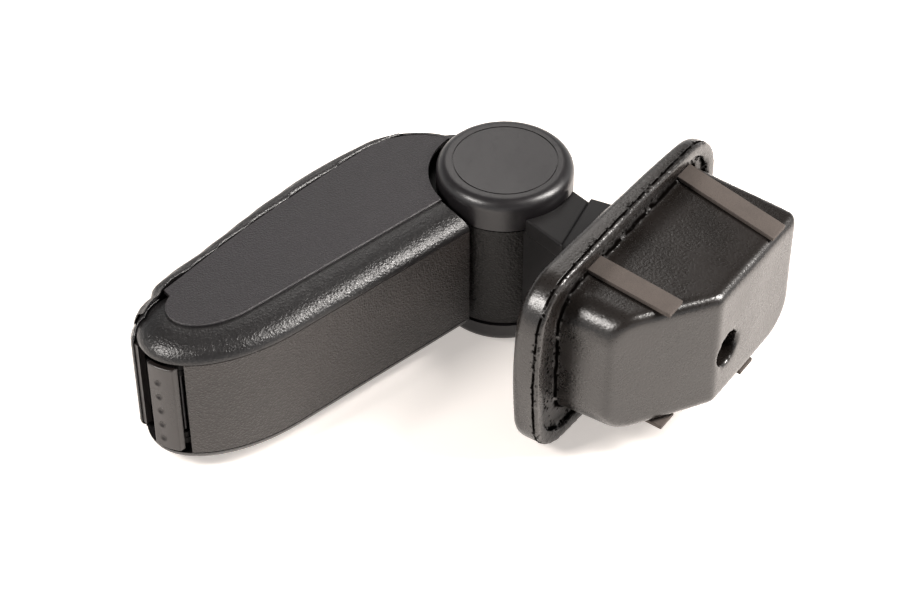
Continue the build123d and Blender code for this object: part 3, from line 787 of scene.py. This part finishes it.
def points_of(mesh: bpy.types.Mesh) -> np.ndarray:
    """The mesh's points.

    Args:
        mesh: the mesh.

    Returns:
        The points, one row each.
    """
    flat = np.empty(3 * len(mesh.vertices))
    mesh.vertices.foreach_get("co", flat)
    return flat.reshape(-1, 3)


def normals_of(mesh: bpy.types.Mesh) -> np.ndarray:
    """The normals at the mesh's points.

    Args:
        mesh: the mesh.

    Returns:
        The normals, one row each.
    """
    flat = np.empty(3 * len(mesh.vertices), dtype=np.float32)
    mesh.vertex_normals.foreach_get("vector", flat)
    return flat.reshape(-1, 3).astype(float)


def move_points(mesh: bpy.types.Mesh, points: np.ndarray) -> None:
    """Moves the mesh's points to these rows."""
    mesh.vertices.foreach_set("co", points.ravel())
    mesh.update()


def remesh(piece: bpy.types.Object, voxel: float, rounds: int) -> None:
    """Rebuilds a piece from even quads and rounds its edges.

    Args:
        piece: a closed mesh object.
        voxel: width of a quad in metres.
        rounds: smoothing rounds.
    """
    grid = piece.modifiers.new("grid", "REMESH")
    grid.mode = "VOXEL"
    grid.voxel_size = voxel
    rounding = piece.modifiers.new("rounding", "SMOOTH")
    rounding.factor = 0.5
    rounding.iterations = rounds
    settle(piece)
    smooth(piece)


def round_node(
    frame: Frame, node: str, finish: Finish, slot: Slot, body: Body, voxel: float, rounds: int
) -> bpy.types.Object:
    """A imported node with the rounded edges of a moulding, as a piece in its place.

    Args:
        frame: the loaded frame.
        node: the node.
        finish: its finish.
        slot: its finish slot in the record.
        body: the body that it rides on.
        voxel: mesh width in metres.
        rounds: smoothing rounds.

    Returns:
        The piece.
    """
    piece = node_copy(frame, node, f"{node}_rounded")
    remesh(piece, voxel, rounds)
    dress(piece, finish)
    return enlist(piece, slot, body, node)


def ripple(piece: bpy.types.Object, amount: float, size: float) -> None:
    """Moves a skin in and out by smooth noise.

    Args:
        piece: the mesh object.
        amount: largest move in metres.
        size: width of one wave in metres.
    """
    points = points_of(piece.data)
    waves = np.array([noise.noise(Vector(point) / size) for point in points])
    move_points(piece.data, points + normals_of(piece.data) * (amount * waves)[:, None])


def ease(values: np.ndarray, low: float, high: float) -> np.ndarray:
    """Smooth step from 0 at low to 1 at high, which may be the smaller of the two."""
    share = np.clip((values - low) / (high - low), 0.0, 1.0)
    return share * share * (3.0 - 2.0 * share)


class PieceTree:
    """A Geometry Nodes tree with named inputs, run on a carrier mesh and kept as a plain mesh."""

    def __init__(self, name: str, inputs: dict[str, str]) -> None:
        """Starts the tree.

        Args:
            name: the tree's name.
            inputs: each input's label and socket type.
        """
        self.tree = bpy.data.node_groups.new(name, "GeometryNodeTree")
        sockets = self.tree.interface
        self.keys = {
            label: sockets.new_socket(label, in_out="INPUT", socket_type=kind).identifier
            for label, kind in inputs.items()
        }
        sockets.new_socket("Piece", in_out="OUTPUT", socket_type="NodeSocketGeometry")
        self.graph = Graph(self.tree)
        entry = self.tree.nodes.new("NodeGroupInput")
        self.given = {label: Signal(self.graph, entry.outputs[label]) for label in inputs}

    def random(self, low: Point, high: Point, seed: int) -> Signal:
        """A seeded random vector for each point.

        Args:
            low: lowest values.
            high: highest values.
            seed: the fixed seed.

        Returns:
            The vector.
        """
        sockets = {0: low, 1: high, "Seed": seed}
        return self.graph.node("FunctionNodeRandomValue", {"data_type": "FLOAT_VECTOR"}, sockets)

    def close(self, result: Signal) -> None:
        """Ends the tree: instances made real, then the finish.

        Args:
            result: the geometry with its instances.
        """
        real = self.graph.node("GeometryNodeRealizeInstances", {}, {"Geometry": result})
        sockets = {"Geometry": real, "Material": self.given["Finish"]}
        dressed = self.graph.node("GeometryNodeSetMaterial", {}, sockets)
        self.graph.node("NodeGroupOutput", {}, {0: dressed})

    def run(self, name: str, carrier: bpy.types.Mesh, values: dict[str, Any]) -> bpy.types.Object:
        """Runs the tree on a carrier mesh.

        Args:
            name: the new piece's name.
            carrier: the mesh that the tree follows.
            values: the inputs' values by label.

        Returns:
            The piece, a plain mesh.
        """
        piece = add_piece(name, carrier)
        modifier = piece.modifiers.new("tree", "NODES")
        modifier.node_group = self.tree
        for label, value in values.items():
            modifier[self.keys[label]] = value
        settle(piece)
        return piece


@dataclass(frozen=True)
class Seam:
    """Upper edge of the side shells, and the rounded shoulders of what lies above its rear end."""

    run: tuple[Pair, ...] = ((-0.2285, 0.1585), (-0.1755, 0.167), (-0.1125, 0.1735), (-0.0685, 0.1763))
    centre: Pair = (-68.5 * MM, MID_LINE)
    radius: float = 49.3 * MM
    reach: float = 45.7 * MM
    split: float = -43.5 * MM
    gap: float = 1.7 * MM
    rim: float = 45.6 * MM
    shoulder_run: Pair = (-64 * MM, -46 * MM)
    shoulder_side: Pair = (35 * MM, 45 * MM)

    def level(self, along: np.ndarray) -> np.ndarray:
        """Height of the edge.

        Args:
            along: places along the arm.

        Returns:
            The edge's height at each place.
        """
        ends = np.array(self.run)
        past = np.clip(along - self.centre[0], 0.0, self.reach)
        fall = self.centre[1] + np.sqrt(self.radius**2 - past**2)
        return np.where(past > 0.0, fall, np.interp(along, ends[:, 0], ends[:, 1]))

    def shoulder(self, points: np.ndarray, drop: float) -> np.ndarray:
        """Points with the rear shoulders drawn down towards the edge.

        Args:
            points: points of a piece, one row each.
            drop: share of the height over the edge that is taken away.

        Returns:
            The moved points.
        """
        moved = points.copy()
        share = ease(points[:, 0], *self.shoulder_run) * ease(np.abs(points[:, 2]), *self.shoulder_side)
        above = np.maximum(points[:, 1] - self.level(points[:, 0]), 0.0)
        moved[:, 1] -= drop * share * above
        return moved

    def lift(self, points: np.ndarray) -> np.ndarray:
        """Points that keep the gap over the edge.

        Args:
            points: points of a piece, one row each.

        Returns:
            The moved points.
        """
        moved = points.copy()
        rim = np.abs(points[:, 2]) > self.rim
        floor = self.level(points[:, 0]) + self.gap
        moved[rim, 1] = np.maximum(points[rim, 1], floor[rim])
        return moved


SEAM = Seam()


@dataclass
class Foot:
    """Foam plug with its flange and strips, the neck, the bracket and the barrel."""

    voxel: float = 1.7 * MM
    rounds: int = 4
    wave: float = 0.35 * MM
    wave_size: float = 34 * MM
    crumb_pitch: float = 1.4 * MM
    crumb_size: float = 0.45 * MM
    crumb_turn: Point = (6.28, 6.28, 6.28)
    crumb_least: Point = (0.5, 0.35, 0.35)
    crumb_most: Point = (1.6, 0.8, 0.9)
    crumb_share: float = 0.6
    strip_edge: float = 0.5 * MM
    strip_segments: int = 3
    strip_cuts: int = 14
    strip_flat: float = 4.0
    strip_wave: float = 0.12 * MM
    strip_wave_size: float = 18 * MM
    cover_voxel: float = 0.8 * MM
    cover_rounds: int = 4

    FINISHES: ClassVar[dict[str, Finish]] = {
        "barrel_cover": BARREL,
        "bracket": COAT,
        "bracket_bolts": STEEL,
        "pivot_bush_upper": ACETAL,
        "pivot_bush_lower": ACETAL,
    }
    STRIPS: ClassVar[tuple[str, ...]] = ("upper_front", "upper_rear", "lower_front", "lower_rear")
    COVERS: ClassVar[tuple[str, ...]] = ("neck_housing", "neck_cap_upper", "neck_cap_lower", "neck_collar")

    def build(self, frame: Frame) -> list[bpy.types.Object]:
        """Builds the plug, its flash, the strips and the neck's covers, and dresses the rest.

        Args:
            frame: the loaded frame.

        Returns:
            The pieces.
        """
        plug = self.plug(frame)
        strips = [self.strip(frame, place) for place in self.STRIPS]
        covers = [
            round_node(frame, node, NECK, Slot.NECK_PLASTIC, Body.FOOT, self.cover_voxel, self.cover_rounds)
            for node in self.COVERS
        ]
        return dress_nodes(frame, self.FINISHES) + [plug, self.flash(plug)] + strips + covers

    def plug(self, frame: Frame) -> bpy.types.Object:
        """The foam plug with rounded edges and a slightly wavy skin.

        Args:
            frame: the loaded frame.

        Returns:
            The piece.
        """
        piece = node_copy(frame, "foot_block", "foot_plug")
        remesh(piece, self.voxel, self.rounds)
        ripple(piece, self.wave, self.wave_size)
        dress(piece, FOOT_SKIN)
        return enlist(piece, Slot.FOOT_FOAM, Body.FOOT, "foot_block")

    def rim(self, plug: bpy.types.Object) -> bpy.types.Mesh:
        """Closed line round the flange at the parting line.

        Args:
            plug: the foam plug.

        Returns:
            The line as a mesh of edges.
        """
        down = Vector(FOOT_DOWN)
        work = bmesh.new()
        work.from_mesh(plug.data)
        every = work.verts[:] + work.edges[:] + work.faces[:]
        cut = bmesh.ops.bisect_plane(work, geom=every, plane_co=down * PARTING, plane_no=down)["geom_cut"]
        work.edges.index_update()
        left = {edge.index: edge for edge in cut if isinstance(edge, bmesh.types.BMEdge)}
        loops = []
        while left:
            loop, ahead = [], [left.pop(min(left))]
            while ahead:
                edge = ahead.pop()
                loop.append(edge)
                near = [other for vert in edge.verts for other in vert.link_edges]
                ahead += [other for other in near if left.pop(other.index, None)]
            loops.append(loop)
        outer = max(loops, key=lambda loop: sum(edge.calc_length() for edge in loop))
        order: dict[bmesh.types.BMVert, int] = {}
        for edge in outer:
            for vert in edge.verts:
                order.setdefault(vert, len(order))
        mesh = bpy.data.meshes.new("flange_rim")
        lines = [(order[edge.verts[0]], order[edge.verts[1]]) for edge in outer]
        mesh.from_pydata([vert.co.copy() for vert in order], lines, [])
        work.free()
        return mesh

    def flash(self, plug: bpy.types.Object) -> bpy.types.Object:
        """Ragged crumbs of foam along the parting line, from a tree that follows the flange's rim.

        Args:
            plug: the foam plug.

        Returns:
            The piece.
        """
        made = PieceTree(
            "flash_crumbs",
            {
                "Rim": "NodeSocketGeometry",
                "Pitch": "NodeSocketFloat",
                "Size": "NodeSocketFloat",
                "Finish": "NodeSocketMaterial",
            },
        )
        graph, given = made.graph, made.given
        path = graph.node("GeometryNodeMeshToCurve", {}, {"Mesh": given["Rim"]})
        spacing = {"Curve": path, "Length": given["Pitch"]}
        path = graph.node("GeometryNodeResampleCurve", {"mode": "LENGTH"}, spacing)
        crumb = graph.node("GeometryNodeMeshIcoSphere", {}, {"Radius": given["Size"], "Subdivisions": 1})
        turn = made.random((0.0, 0.0, 0.0), self.crumb_turn, 3)
        scale = made.random(self.crumb_least, self.crumb_most, 8)
        chance = {"Probability": self.crumb_share, "Seed": 5}
        kept = graph.node("FunctionNodeRandomValue", {"data_type": "BOOLEAN"}, chance, 3)
        crumbs = {"Points": path, "Instance": crumb, "Rotation": turn, "Scale": scale, "Selection": kept}
        made.close(graph.node("GeometryNodeInstanceOnPoints", {}, crumbs))
        values = {"Pitch": self.crumb_pitch, "Size": self.crumb_size, "Finish": FOOT_SKIN.material()}
        piece = made.run("parting_flash", self.rim(plug), values)
        return enlist(piece, Slot.FOOT_FOAM, Body.FOOT)

    def strip(self, frame: Frame, place: str) -> bpy.types.Object:
        """One self-adhesive foam strip with softly rounded edges and slightly wavy faces.

        Args:
            frame: the loaded frame.
            place: which of the four strips.

        Returns:
            The piece.
        """
        node = f"foam_strip_{place}"
        piece = node_copy(frame, node, f"soft_strip_{place}")
        with editing(piece.data) as work:
            flat = math.radians(self.strip_flat)
            bmesh.ops.dissolve_limit(work, angle_limit=flat, verts=work.verts, edges=work.edges)
            bmesh.ops.bevel(
                work,
                geom=work.edges[:],
                offset=self.strip_edge,
                segments=self.strip_segments,
                profile=0.5,
                affect="EDGES",
                clamp_overlap=True,
            )
            long = [edge for edge in work.edges if edge.calc_length() > self.strip_wave_size]
            bmesh.ops.subdivide_edges(work, edges=long, cuts=self.strip_cuts, use_grid_fill=True)
            bmesh.ops.triangulate(work, faces=[face for face in work.faces if len(face.verts) > 4])
        ripple(piece, self.strip_wave, self.strip_wave_size)
        smooth(piece)
        dress(piece, STRIP)
        return enlist(piece, Slot.STRIP_FOAM, Body.FOOT, node)


@dataclass
class Arm:
    """Pivoting arm: shells, panel, tray, rear cover, hinge caps and fasteners."""

    cover_voxel: float = 0.8 * MM
    cover_rounds: int = 3
    cover_drop: float = 0.56
    cheek: float = 45.8 * MM

    FINISHES: ClassVar[dict[str, Finish]] = {
        "side_shell_upper": SHELL,
        "side_shell_lower": SHELL,
        "bottom_panel": PANEL,
        "disc_cap_upper": CAP,
        "disc_cap_lower": CAP,
        "arm_base": TRAY,
        "pivot_bolt": STEEL,
        "pivot_nut": STEEL,
        "pivot_washers": STEEL,
        "shell_screws": STEEL,
        "lid_hinge_pin": BLACKED,
        "latch_pin": BLACKED,
    }

    def build(self, frame: Frame) -> list[bpy.types.Object]:
        """Dresses the arm's nodes and shapes the rear cover."""
        return dress_nodes(frame, self.FINISHES) + [self.cover(frame)]

    def cover(self, frame: Frame) -> bpy.types.Object:
        """The fixed cover behind the lid, with rounded shoulders.

        Args:
            frame: the loaded frame.

        Returns:
            The piece.
        """
        piece = node_copy(frame, "rear_top_cover", "rear_cover")
        remesh(piece, self.cover_voxel, self.cover_rounds)
        points = points_of(piece.data)
        cheek = (np.abs(points[:, 2]) > self.cheek) & (points[:, 0] < SEAM.split)
        points[cheek, 0] = SEAM.split
        move_points(piece.data, SEAM.lift(SEAM.shoulder(points, self.cover_drop)))
        dress(piece, VINYL)
        return enlist(piece, Slot.LID_VINYL, Body.ARM, "rear_top_cover")


@dataclass
class Lid:
    """Padded lid: a board, a vinyl cushion filled by a pressure simulation, and the apron at its nose.

    Runs are places along the arm, sides are distances from its middle, and angles are in degrees
    round the nose. Points of the cushion whose normals fall below rest_slope stay on the board. The
    creases' pitch is the phase for each radian round the nose and for each metre across it.
    """

    tongue: float = -280 * MM
    nose: Pair = (-257.0 * MM, MID_LINE)
    nose_radius: float = 32.0 * MM

    voxel: float = 4.0 * MM
    rounds: int = 1
    inset: float = 0.7 * MM
    rest_slope: float = -0.3
    pressure: float = 4.0
    frames: int = 20
    reach: float = 5.0 * MM
    half_width: float = 51.2 * MM
    wrap_run: Pair = (-253.5 * MM, -266.5 * MM)
    wrap_side: Pair = (37 * MM, 43 * MM)
    wrap_move: Pair = (-1.2 * MM, -7.5 * MM)
    rim_run: Pair = (-240 * MM, -258 * MM)
    rim_side: Pair = (46 * MM, 48.2 * MM)
    rim_drop: float = 5.5 * MM
    rim_height: float = 5 * MM
    rim_hold: float = 0.9
    tail: float = 9.5 * MM
    tail_run: Pair = (-80 * MM, -55 * MM)
    tail_side: Pair = (42 * MM, 46.5 * MM)
    tail_drop: float = 0.3

    apron_grid: tuple[int, int] = (40, 120)
    apron_half: float = 47.5 * MM
    apron_low: float = 29.5
    apron_high: float = 66.0
    apron_radius: float = 33.4 * MM
    apron_thickness: float = 1.5 * MM
    apron_round: float = 2.4 * MM
    apron_join: float = 0.02 * MM
    corner_low: float = 46.0
    corner_from: float = 35 * MM
    wing_high: float = 87.0
    wing_side: Pair = (39 * MM, 43 * MM)
    roll_from: float = 34 * MM
    roll_radius: float = 17 * MM
    hug: float = 1.2 * MM
    hug_to: float = 39 * MM
    dip: float = 1.6 * MM
    dip_from: float = 54.0
    crease: float = 0.3 * MM
    crease_pitch: Pair = (31.0, 900.0)
    crease_side: Pair = (26 * MM, 42 * MM)
    crease_fade: Pair = (54.431, 34.3775)

    def build(self, frame: Frame) -> list[bpy.types.Object]:
        """Builds the board, the cushion and its apron."""
        return [self.board(frame), self.cushion(frame), self.apron()]

    def board(self, frame: Frame) -> bpy.types.Object:
        """The board under the cushion, with a smooth tongue in front and painted shade on the rest.

        Args:
            frame: the loaded frame.

        Returns:
            The piece.
        """
        piece = node_copy(frame, "lid_frame", "lid_board")
        # Painted shade: all but the tongue takes the darker tray finish, so that the board's side reads as a
        # dark gap.
        dress(piece, TRAY)
        dress_faces(piece, BOARD, lambda centre: centre.x < self.tongue)
        return enlist(piece, Slot.TRAY_PLASTIC, Body.LID, "lid_frame")

    def drape(self, rows: int, columns: int) -> np.ndarray:
        """Points of the apron's outer and inner sheet.

        Args:
            rows: points from the lower edge up.
            columns: points from side to side.

        Returns:
            The points by sheet, row and column.
        """
        degrees = (self.apron_low, self.corner_low, self.apron_high, self.wing_high, self.dip_from)
        low, corner, high, wing_high, dip_from = np.radians(degrees)
        across = np.linspace(-self.apron_half, self.apron_half, columns)
        side = np.abs(across)
        wing = ease(side, *self.wing_side)
        end = high + (wing_high - high) * wing
        start = low + (corner - low) * ease(side, self.corner_from, self.apron_half)
        angle = start + (end - start) * np.linspace(0.0, 1.0, rows)[:, None]
        past = np.maximum(side - self.roll_from, 0.0)
        roll = self.roll_radius - np.sqrt(self.roll_radius**2 - past**2)
        hug = roll + self.hug * ease(side, self.roll_from, self.hug_to)
        inner = self.apron_radius - hug - self.dip * (1.0 - wing) * ease(angle, dip_from, end)
        edge = np.minimum((angle - start) * self.apron_radius, self.apron_half - side)
        full = np.sqrt(1.0 - (1.0 - np.clip(edge / self.apron_round, 0.0, 1.0)) ** 2)
        wave = np.sin(angle * self.crease_pitch[0] + across * self.crease_pitch[1])
        shown = ease(side, *self.crease_side) * ease(angle, *np.radians(self.crease_fade))
        outer = inner + full * (self.apron_thickness + self.crease * wave * shown)
        sheets = np.stack([outer, inner])
        flat = (self.nose[0] - sheets * np.cos(angle), self.nose[1] + sheets * np.sin(angle))
        return np.stack([*flat, np.broadcast_to(across, sheets.shape)], axis=-1)

    def apron(self) -> bpy.types.Object:
        """The vinyl turned down over the nose in front of the cushion.

        Returns:
            The piece.
        """
        rows, columns = self.apron_grid
        sheet = rows * columns
        cell = np.arange(rows - 1)[:, None] * columns + np.arange(columns - 1)
        quads = np.stack([cell, cell + 1, cell + columns + 1, cell + columns], axis=-1).reshape(-1, 4)
        top = (rows - 1) * columns + np.arange(columns - 1)
        closing = np.stack([top, top + 1, top + 1 + sheet, top + sheet], axis=-1)
        faces = np.concatenate([quads, quads[:, ::-1] + sheet, closing])
        mesh = bpy.data.meshes.new("lid_apron")
        mesh.from_pydata(self.drape(rows, columns).reshape(-1, 3).tolist(), [], faces.tolist())
        with editing(mesh) as work:
            bmesh.ops.remove_doubles(work, verts=work.verts, dist=self.apron_join)
            bmesh.ops.recalc_face_normals(work, faces=work.faces)
        piece = add_piece("lid_apron", mesh)
        smooth(piece)
        dress(piece, VINYL)
        return enlist(piece, Slot.LID_VINYL, Body.LID)

    def cushion(self, frame: Frame) -> bpy.types.Object:
        """The vinyl cushion.

        Args:
            frame: the loaded frame.

        Returns:
            The piece.
        """
        piece = node_copy(frame, "lid_pad", "lid_cushion")
        remesh(piece, self.voxel, self.rounds)
        out = normals_of(piece.data)
        held = out[:, 1] < self.rest_slope
        inset = np.where(held, 0.0, self.inset)
        move_points(piece.data, points_of(piece.data) - out * inset[:, None])
        self.fill(piece, held)
        finer = piece.modifiers.new("finer", "SUBSURF")
        finer.levels = finer.render_levels = 1
        settle(piece)
        smooth(piece)
        move_points(piece.data, self.wrap(points_of(piece.data)))
        dress(piece, VINYL)
        return enlist(piece, Slot.LID_VINYL, Body.LID, "lid_pad")

    def wrap(self, points: np.ndarray) -> np.ndarray:
        """Points with the front drawn down over the nose and the rear end led back to the cover.

        Args:
            points: points of the cushion, one row each.

        Returns:
            The moved points.
        """
        moved = points.copy()
        along, side = points[:, 0], np.abs(points[:, 2])
        moved[:, 0] += self.tail * ease(along, *self.tail_run) * ease(side, *self.tail_side)
        moved[:, 2] *= self.half_width / side.max()
        moved = SEAM.lift(SEAM.shoulder(moved, self.tail_drop))
        share = ease(along, *self.wrap_run) * ease(side, *self.wrap_side)
        moved[:, :2] += share[:, None] * np.array(self.wrap_move)
        spoke = moved[:, :2] - np.array(self.nose)
        length = np.linalg.norm(spoke, axis=1)
        inside = (length < self.nose_radius) & (spoke[:, 0] < 0.0) & (spoke[:, 1] > 0.0)
        spoke[inside] *= (self.nose_radius / length[inside])[:, None]
        moved[:, :2] = spoke + np.array(self.nose)
        spoke[:, 0] = np.minimum(spoke[:, 0], 0.0)
        length = np.linalg.norm(spoke, axis=1)
        rim = ease(np.abs(moved[:, 2]), *self.rim_side) * ease(along, *self.rim_run)
        rim *= 1.0 - self.rim_hold * ease(length, self.nose_radius, self.nose_radius + self.rim_height)
        moved[:, :2] -= spoke * (self.rim_drop * rim / length)[:, None]
        return moved

    def fill(self, piece: bpy.types.Object, held: np.ndarray) -> None:
        """Blows the cushion up a little with cloth pressure.

        Args:
            piece: the cushion.
            held: which points rest on the board and stay.
        """
        start = points_of(piece.data)
        group = piece.vertex_groups.new(name="held")
        group.add([int(i) for i in np.flatnonzero(held)], 1.0, "REPLACE")
        cloth = piece.modifiers.new("fill", "CLOTH")
        cloth.settings.use_pressure = True
        cloth.settings.uniform_pressure_force = self.pressure
        cloth.settings.vertex_group_mass = group.name
        cloth.settings.effector_weights.gravity = 0.0
        cloth.point_cache.frame_start, cloth.point_cache.frame_end = 1, self.frames
        scene = bpy.context.scene
        for step in range(1, self.frames + 1):
            scene.frame_set(step)
        settle(piece)
        piece.vertex_groups.clear()
        scene.frame_set(1)
        move = points_of(piece.data) - start
        length = np.linalg.norm(move, axis=1)
        move *= np.minimum(1.0, self.reach / np.maximum(length, 1e-9))[:, None]
        move_points(piece.data, start + move)


@dataclass
class Latch:
    """Dimpled push button and its leaf spring.

    The button's outer face follows the nose's ellipse, and what lies deeper than its skin takes a dark finish
    as painted shade.
    """

    voxel: float = 0.45 * MM
    rounds: int = 4
    middle: Pair = (-208.5 * MM, MID_LINE)
    axes: Pair = (79.5 * MM, 45.7 * MM)
    skin: float = 0.988
    leaf_root: Point = (-0.27, 0.12, 0.0)
    leaf_tip: Point = (-0.27, 0.1285, 0.0)
    leaf_cuts: int = 8

    def build(self, frame: Frame) -> list[bpy.types.Object]:
        """Builds the button and its spring."""
        return [self.button(frame), self.leaf(frame)]

    def in_painted_shade(self, place: Vector) -> bool:
        """Whether a place lies under the button's outer face, in the painted shade of the gap round it."""
        return math.hypot(*((place[i] - self.middle[i]) / self.axes[i] for i in (0, 1))) < self.skin

    def button(self, frame: Frame) -> bpy.types.Object:
        """The button with its dimples.

        Args:
            frame: the loaded frame.

        Returns:
            The piece.
        """
        slot, body = Slot.LATCH_PLASTIC, Body.LATCH
        piece = round_node(frame, "latch_button", LATCH, slot, body, self.voxel, self.rounds)
        # Painted shade: faces under the outer face take the dark tray finish.
        dress_faces(piece, TRAY, self.in_painted_shade)
        return piece

    def leaf(self, frame: Frame) -> bpy.types.Object:
        """The leaf spring, with its faces cut finer, in place of the imported node.

        Args:
            frame: the loaded frame.

        Returns:
            The piece.
        """
        piece = node_copy(frame, "latch_spring", "leaf_spring")
        with editing(piece.data) as work:
            bmesh.ops.subdivide_edges(work, edges=work.edges, cuts=self.leaf_cuts, use_grid_fill=True)
        dress(piece, SPRING)
        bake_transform(piece)
        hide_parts("latch_spring")
        return piece


@dataclass(frozen=True)
class Lamp:
    """A soft oblong lamp: its place, the point that it faces, its size in metres and its watts."""

    name: str
    place: Point
    target: Point
    size: Pair
    power: float

    def hang(self, tint: Colour) -> None:
        """Puts the lamp into the scene.

        Args:
            tint: colour of its light.
        """
        data = bpy.data.lights.new(self.name, "AREA")
        data.shape = "RECTANGLE"
        data.size, data.size_y = self.size
        data.energy, data.color = self.power, tint
        lamp = bpy.data.objects.new(self.name, data)
        lamp.location = self.place
        lamp.rotation_euler = (Vector(self.target) - Vector(self.place)).to_track_quat("-Z", "Y").to_euler()
        bpy.context.scene.collection.objects.link(lamp)


@dataclass
class Studio:
    """White floor, soft lamps and the camera."""

    eye: Point = (-0.8712, -0.8163, 1.0949)
    tilt: float = 47.05
    heading: float = -41.63
    lens: float = 97.8
    sensor: float = 36.0
    clip: Pair = (0.05, 50.0)
    floor_up: Point = (0.0337, -0.0820, 0.9961)
    floor_drop: float = 0.07245
    floor_radius: float = 2.4
    floor_colour: Colour = (0.88, 0.835, 0.8)
    floor_tint: Colour = (1.0, 0.935, 0.885)
    floor_glow: float = 0.45
    horizon: float = 1.05
    horizon_run: Pair = (0.55, 0.12)
    ceiling: float = 0.13
    lamp_tint: Colour = (1.0, 0.96, 0.925)

    LAMPS: ClassVar[tuple[Lamp, ...]] = (
        Lamp("right", (0.67, -0.65, 0.95), (-0.05, 0.04, 0.0), (0.26, 0.75), 36.0),
        Lamp("left", (-0.97, 0.25, 0.84), (-0.05, 0.04, 0.0), (0.35, 0.35), 14.0),
        Lamp("behind", (0.56, 0.89, 1.0), (-0.1, 0.1, 0.0), (0.55, 0.55), 2.9),
    )

    def build(self) -> None:
        """Sets up floor, world, lamps and camera."""
        bpy.context.scene.view_settings.view_transform = "Standard"
        self.floor()
        self.world()
        for lamp in self.LAMPS:
            lamp.hang(self.lamp_tint)
        self.camera()

    def camera(self) -> None:
        """The camera at the photograph's viewing angle."""
        data = bpy.data.cameras.new("camera")
        data.lens, data.sensor_width, data.sensor_fit = self.lens, self.sensor, "HORIZONTAL"
        data.clip_start, data.clip_end = self.clip
        camera = bpy.data.objects.new("camera", data)
        camera.location = self.eye
        camera.rotation_euler = (math.radians(self.tilt), 0.0, math.radians(self.heading))
        bpy.context.scene.collection.objects.link(camera)
        bpy.context.scene.camera = camera

    def floor(self) -> None:
        """The disc that the armrest lies on."""
        up = Vector(self.floor_up).normalized()
        mesh = bpy.data.meshes.new("floor")
        with editing(mesh) as work:
            bmesh.ops.create_circle(work, cap_ends=True, segments=128, radius=self.floor_radius)
        mesh.transform(up.to_track_quat("Z", "Y").to_matrix().to_4x4())
        mesh.transform(Matrix.Translation(-self.floor_drop * up))
        piece = add_piece("floor", mesh)
        piece.data.materials.append(self.paper())

    def seen(self, graph: Graph) -> Signal:
        """Which rays show a background, directly or in gloss or glass.

        Args:
            graph: the floor's graph.

        Returns:
            1 for such a ray, and 0 for others.
        """
        kinds = ("Is Camera Ray", "Is Glossy Ray", "Is Transmission Ray")
        eye, gloss, glass = (graph.node("ShaderNodeLightPath", out=kind) for kind in kinds)
        rays = eye + gloss + glass
        return rays.math("MINIMUM", rays, 1.0)

    def paper(self) -> bpy.types.Material:
        """White paper that keeps the shadow and is topped up to white for the eye.

        Returns:
            The material.
        """
        material = bpy.data.materials.new("white_floor")
        graph = empty_graph(material)
        matt = graph.node("ShaderNodeBsdfDiffuse", {}, {"Color": (*self.floor_colour, 1.0)})
        strength = self.seen(graph) * self.floor_glow
        glow = graph.node("ShaderNodeEmission", {}, {"Color": (*self.floor_tint, 1.0), "Strength": strength})
        both = graph.node("ShaderNodeAddShader", {}, {0: matt, 1: glow})
        graph.node("ShaderNodeOutputMaterial", {}, {"Surface": both})
        return material

    def world(self) -> None:
        """A pale horizon all round under a dimmer ceiling."""
        world = bpy.data.worlds.new("studio")
        bpy.context.scene.world = world
        graph = empty_graph(world)
        height = graph.along(graph.node("ShaderNodeTexCoord", out="Generated"), (0.0, 0.0, 1.0))
        strength = self.ceiling + (self.horizon - self.ceiling) * height.step(*self.horizon_run)
        light = graph.node("ShaderNodeBackground", {}, {"Color": (1.0, 1.0, 1.0, 1.0), "Strength": strength})
        graph.node("ShaderNodeOutputWorld", {}, {"Surface": light})


def main() -> None:
    """Builds the armrest piece by piece."""
    logging.basicConfig(level=logging.INFO, format="%(name)s: %(message)s")
    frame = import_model()
    for assembly in (Foot(), Arm(), Lid(), Latch()):
        for piece in assembly.build(frame):
            LOG.info("%s: %s, %d faces", type(assembly).__name__, piece.name, len(piece.data.polygons))
    Studio().build()


if __name__ == "__main__":
    main()
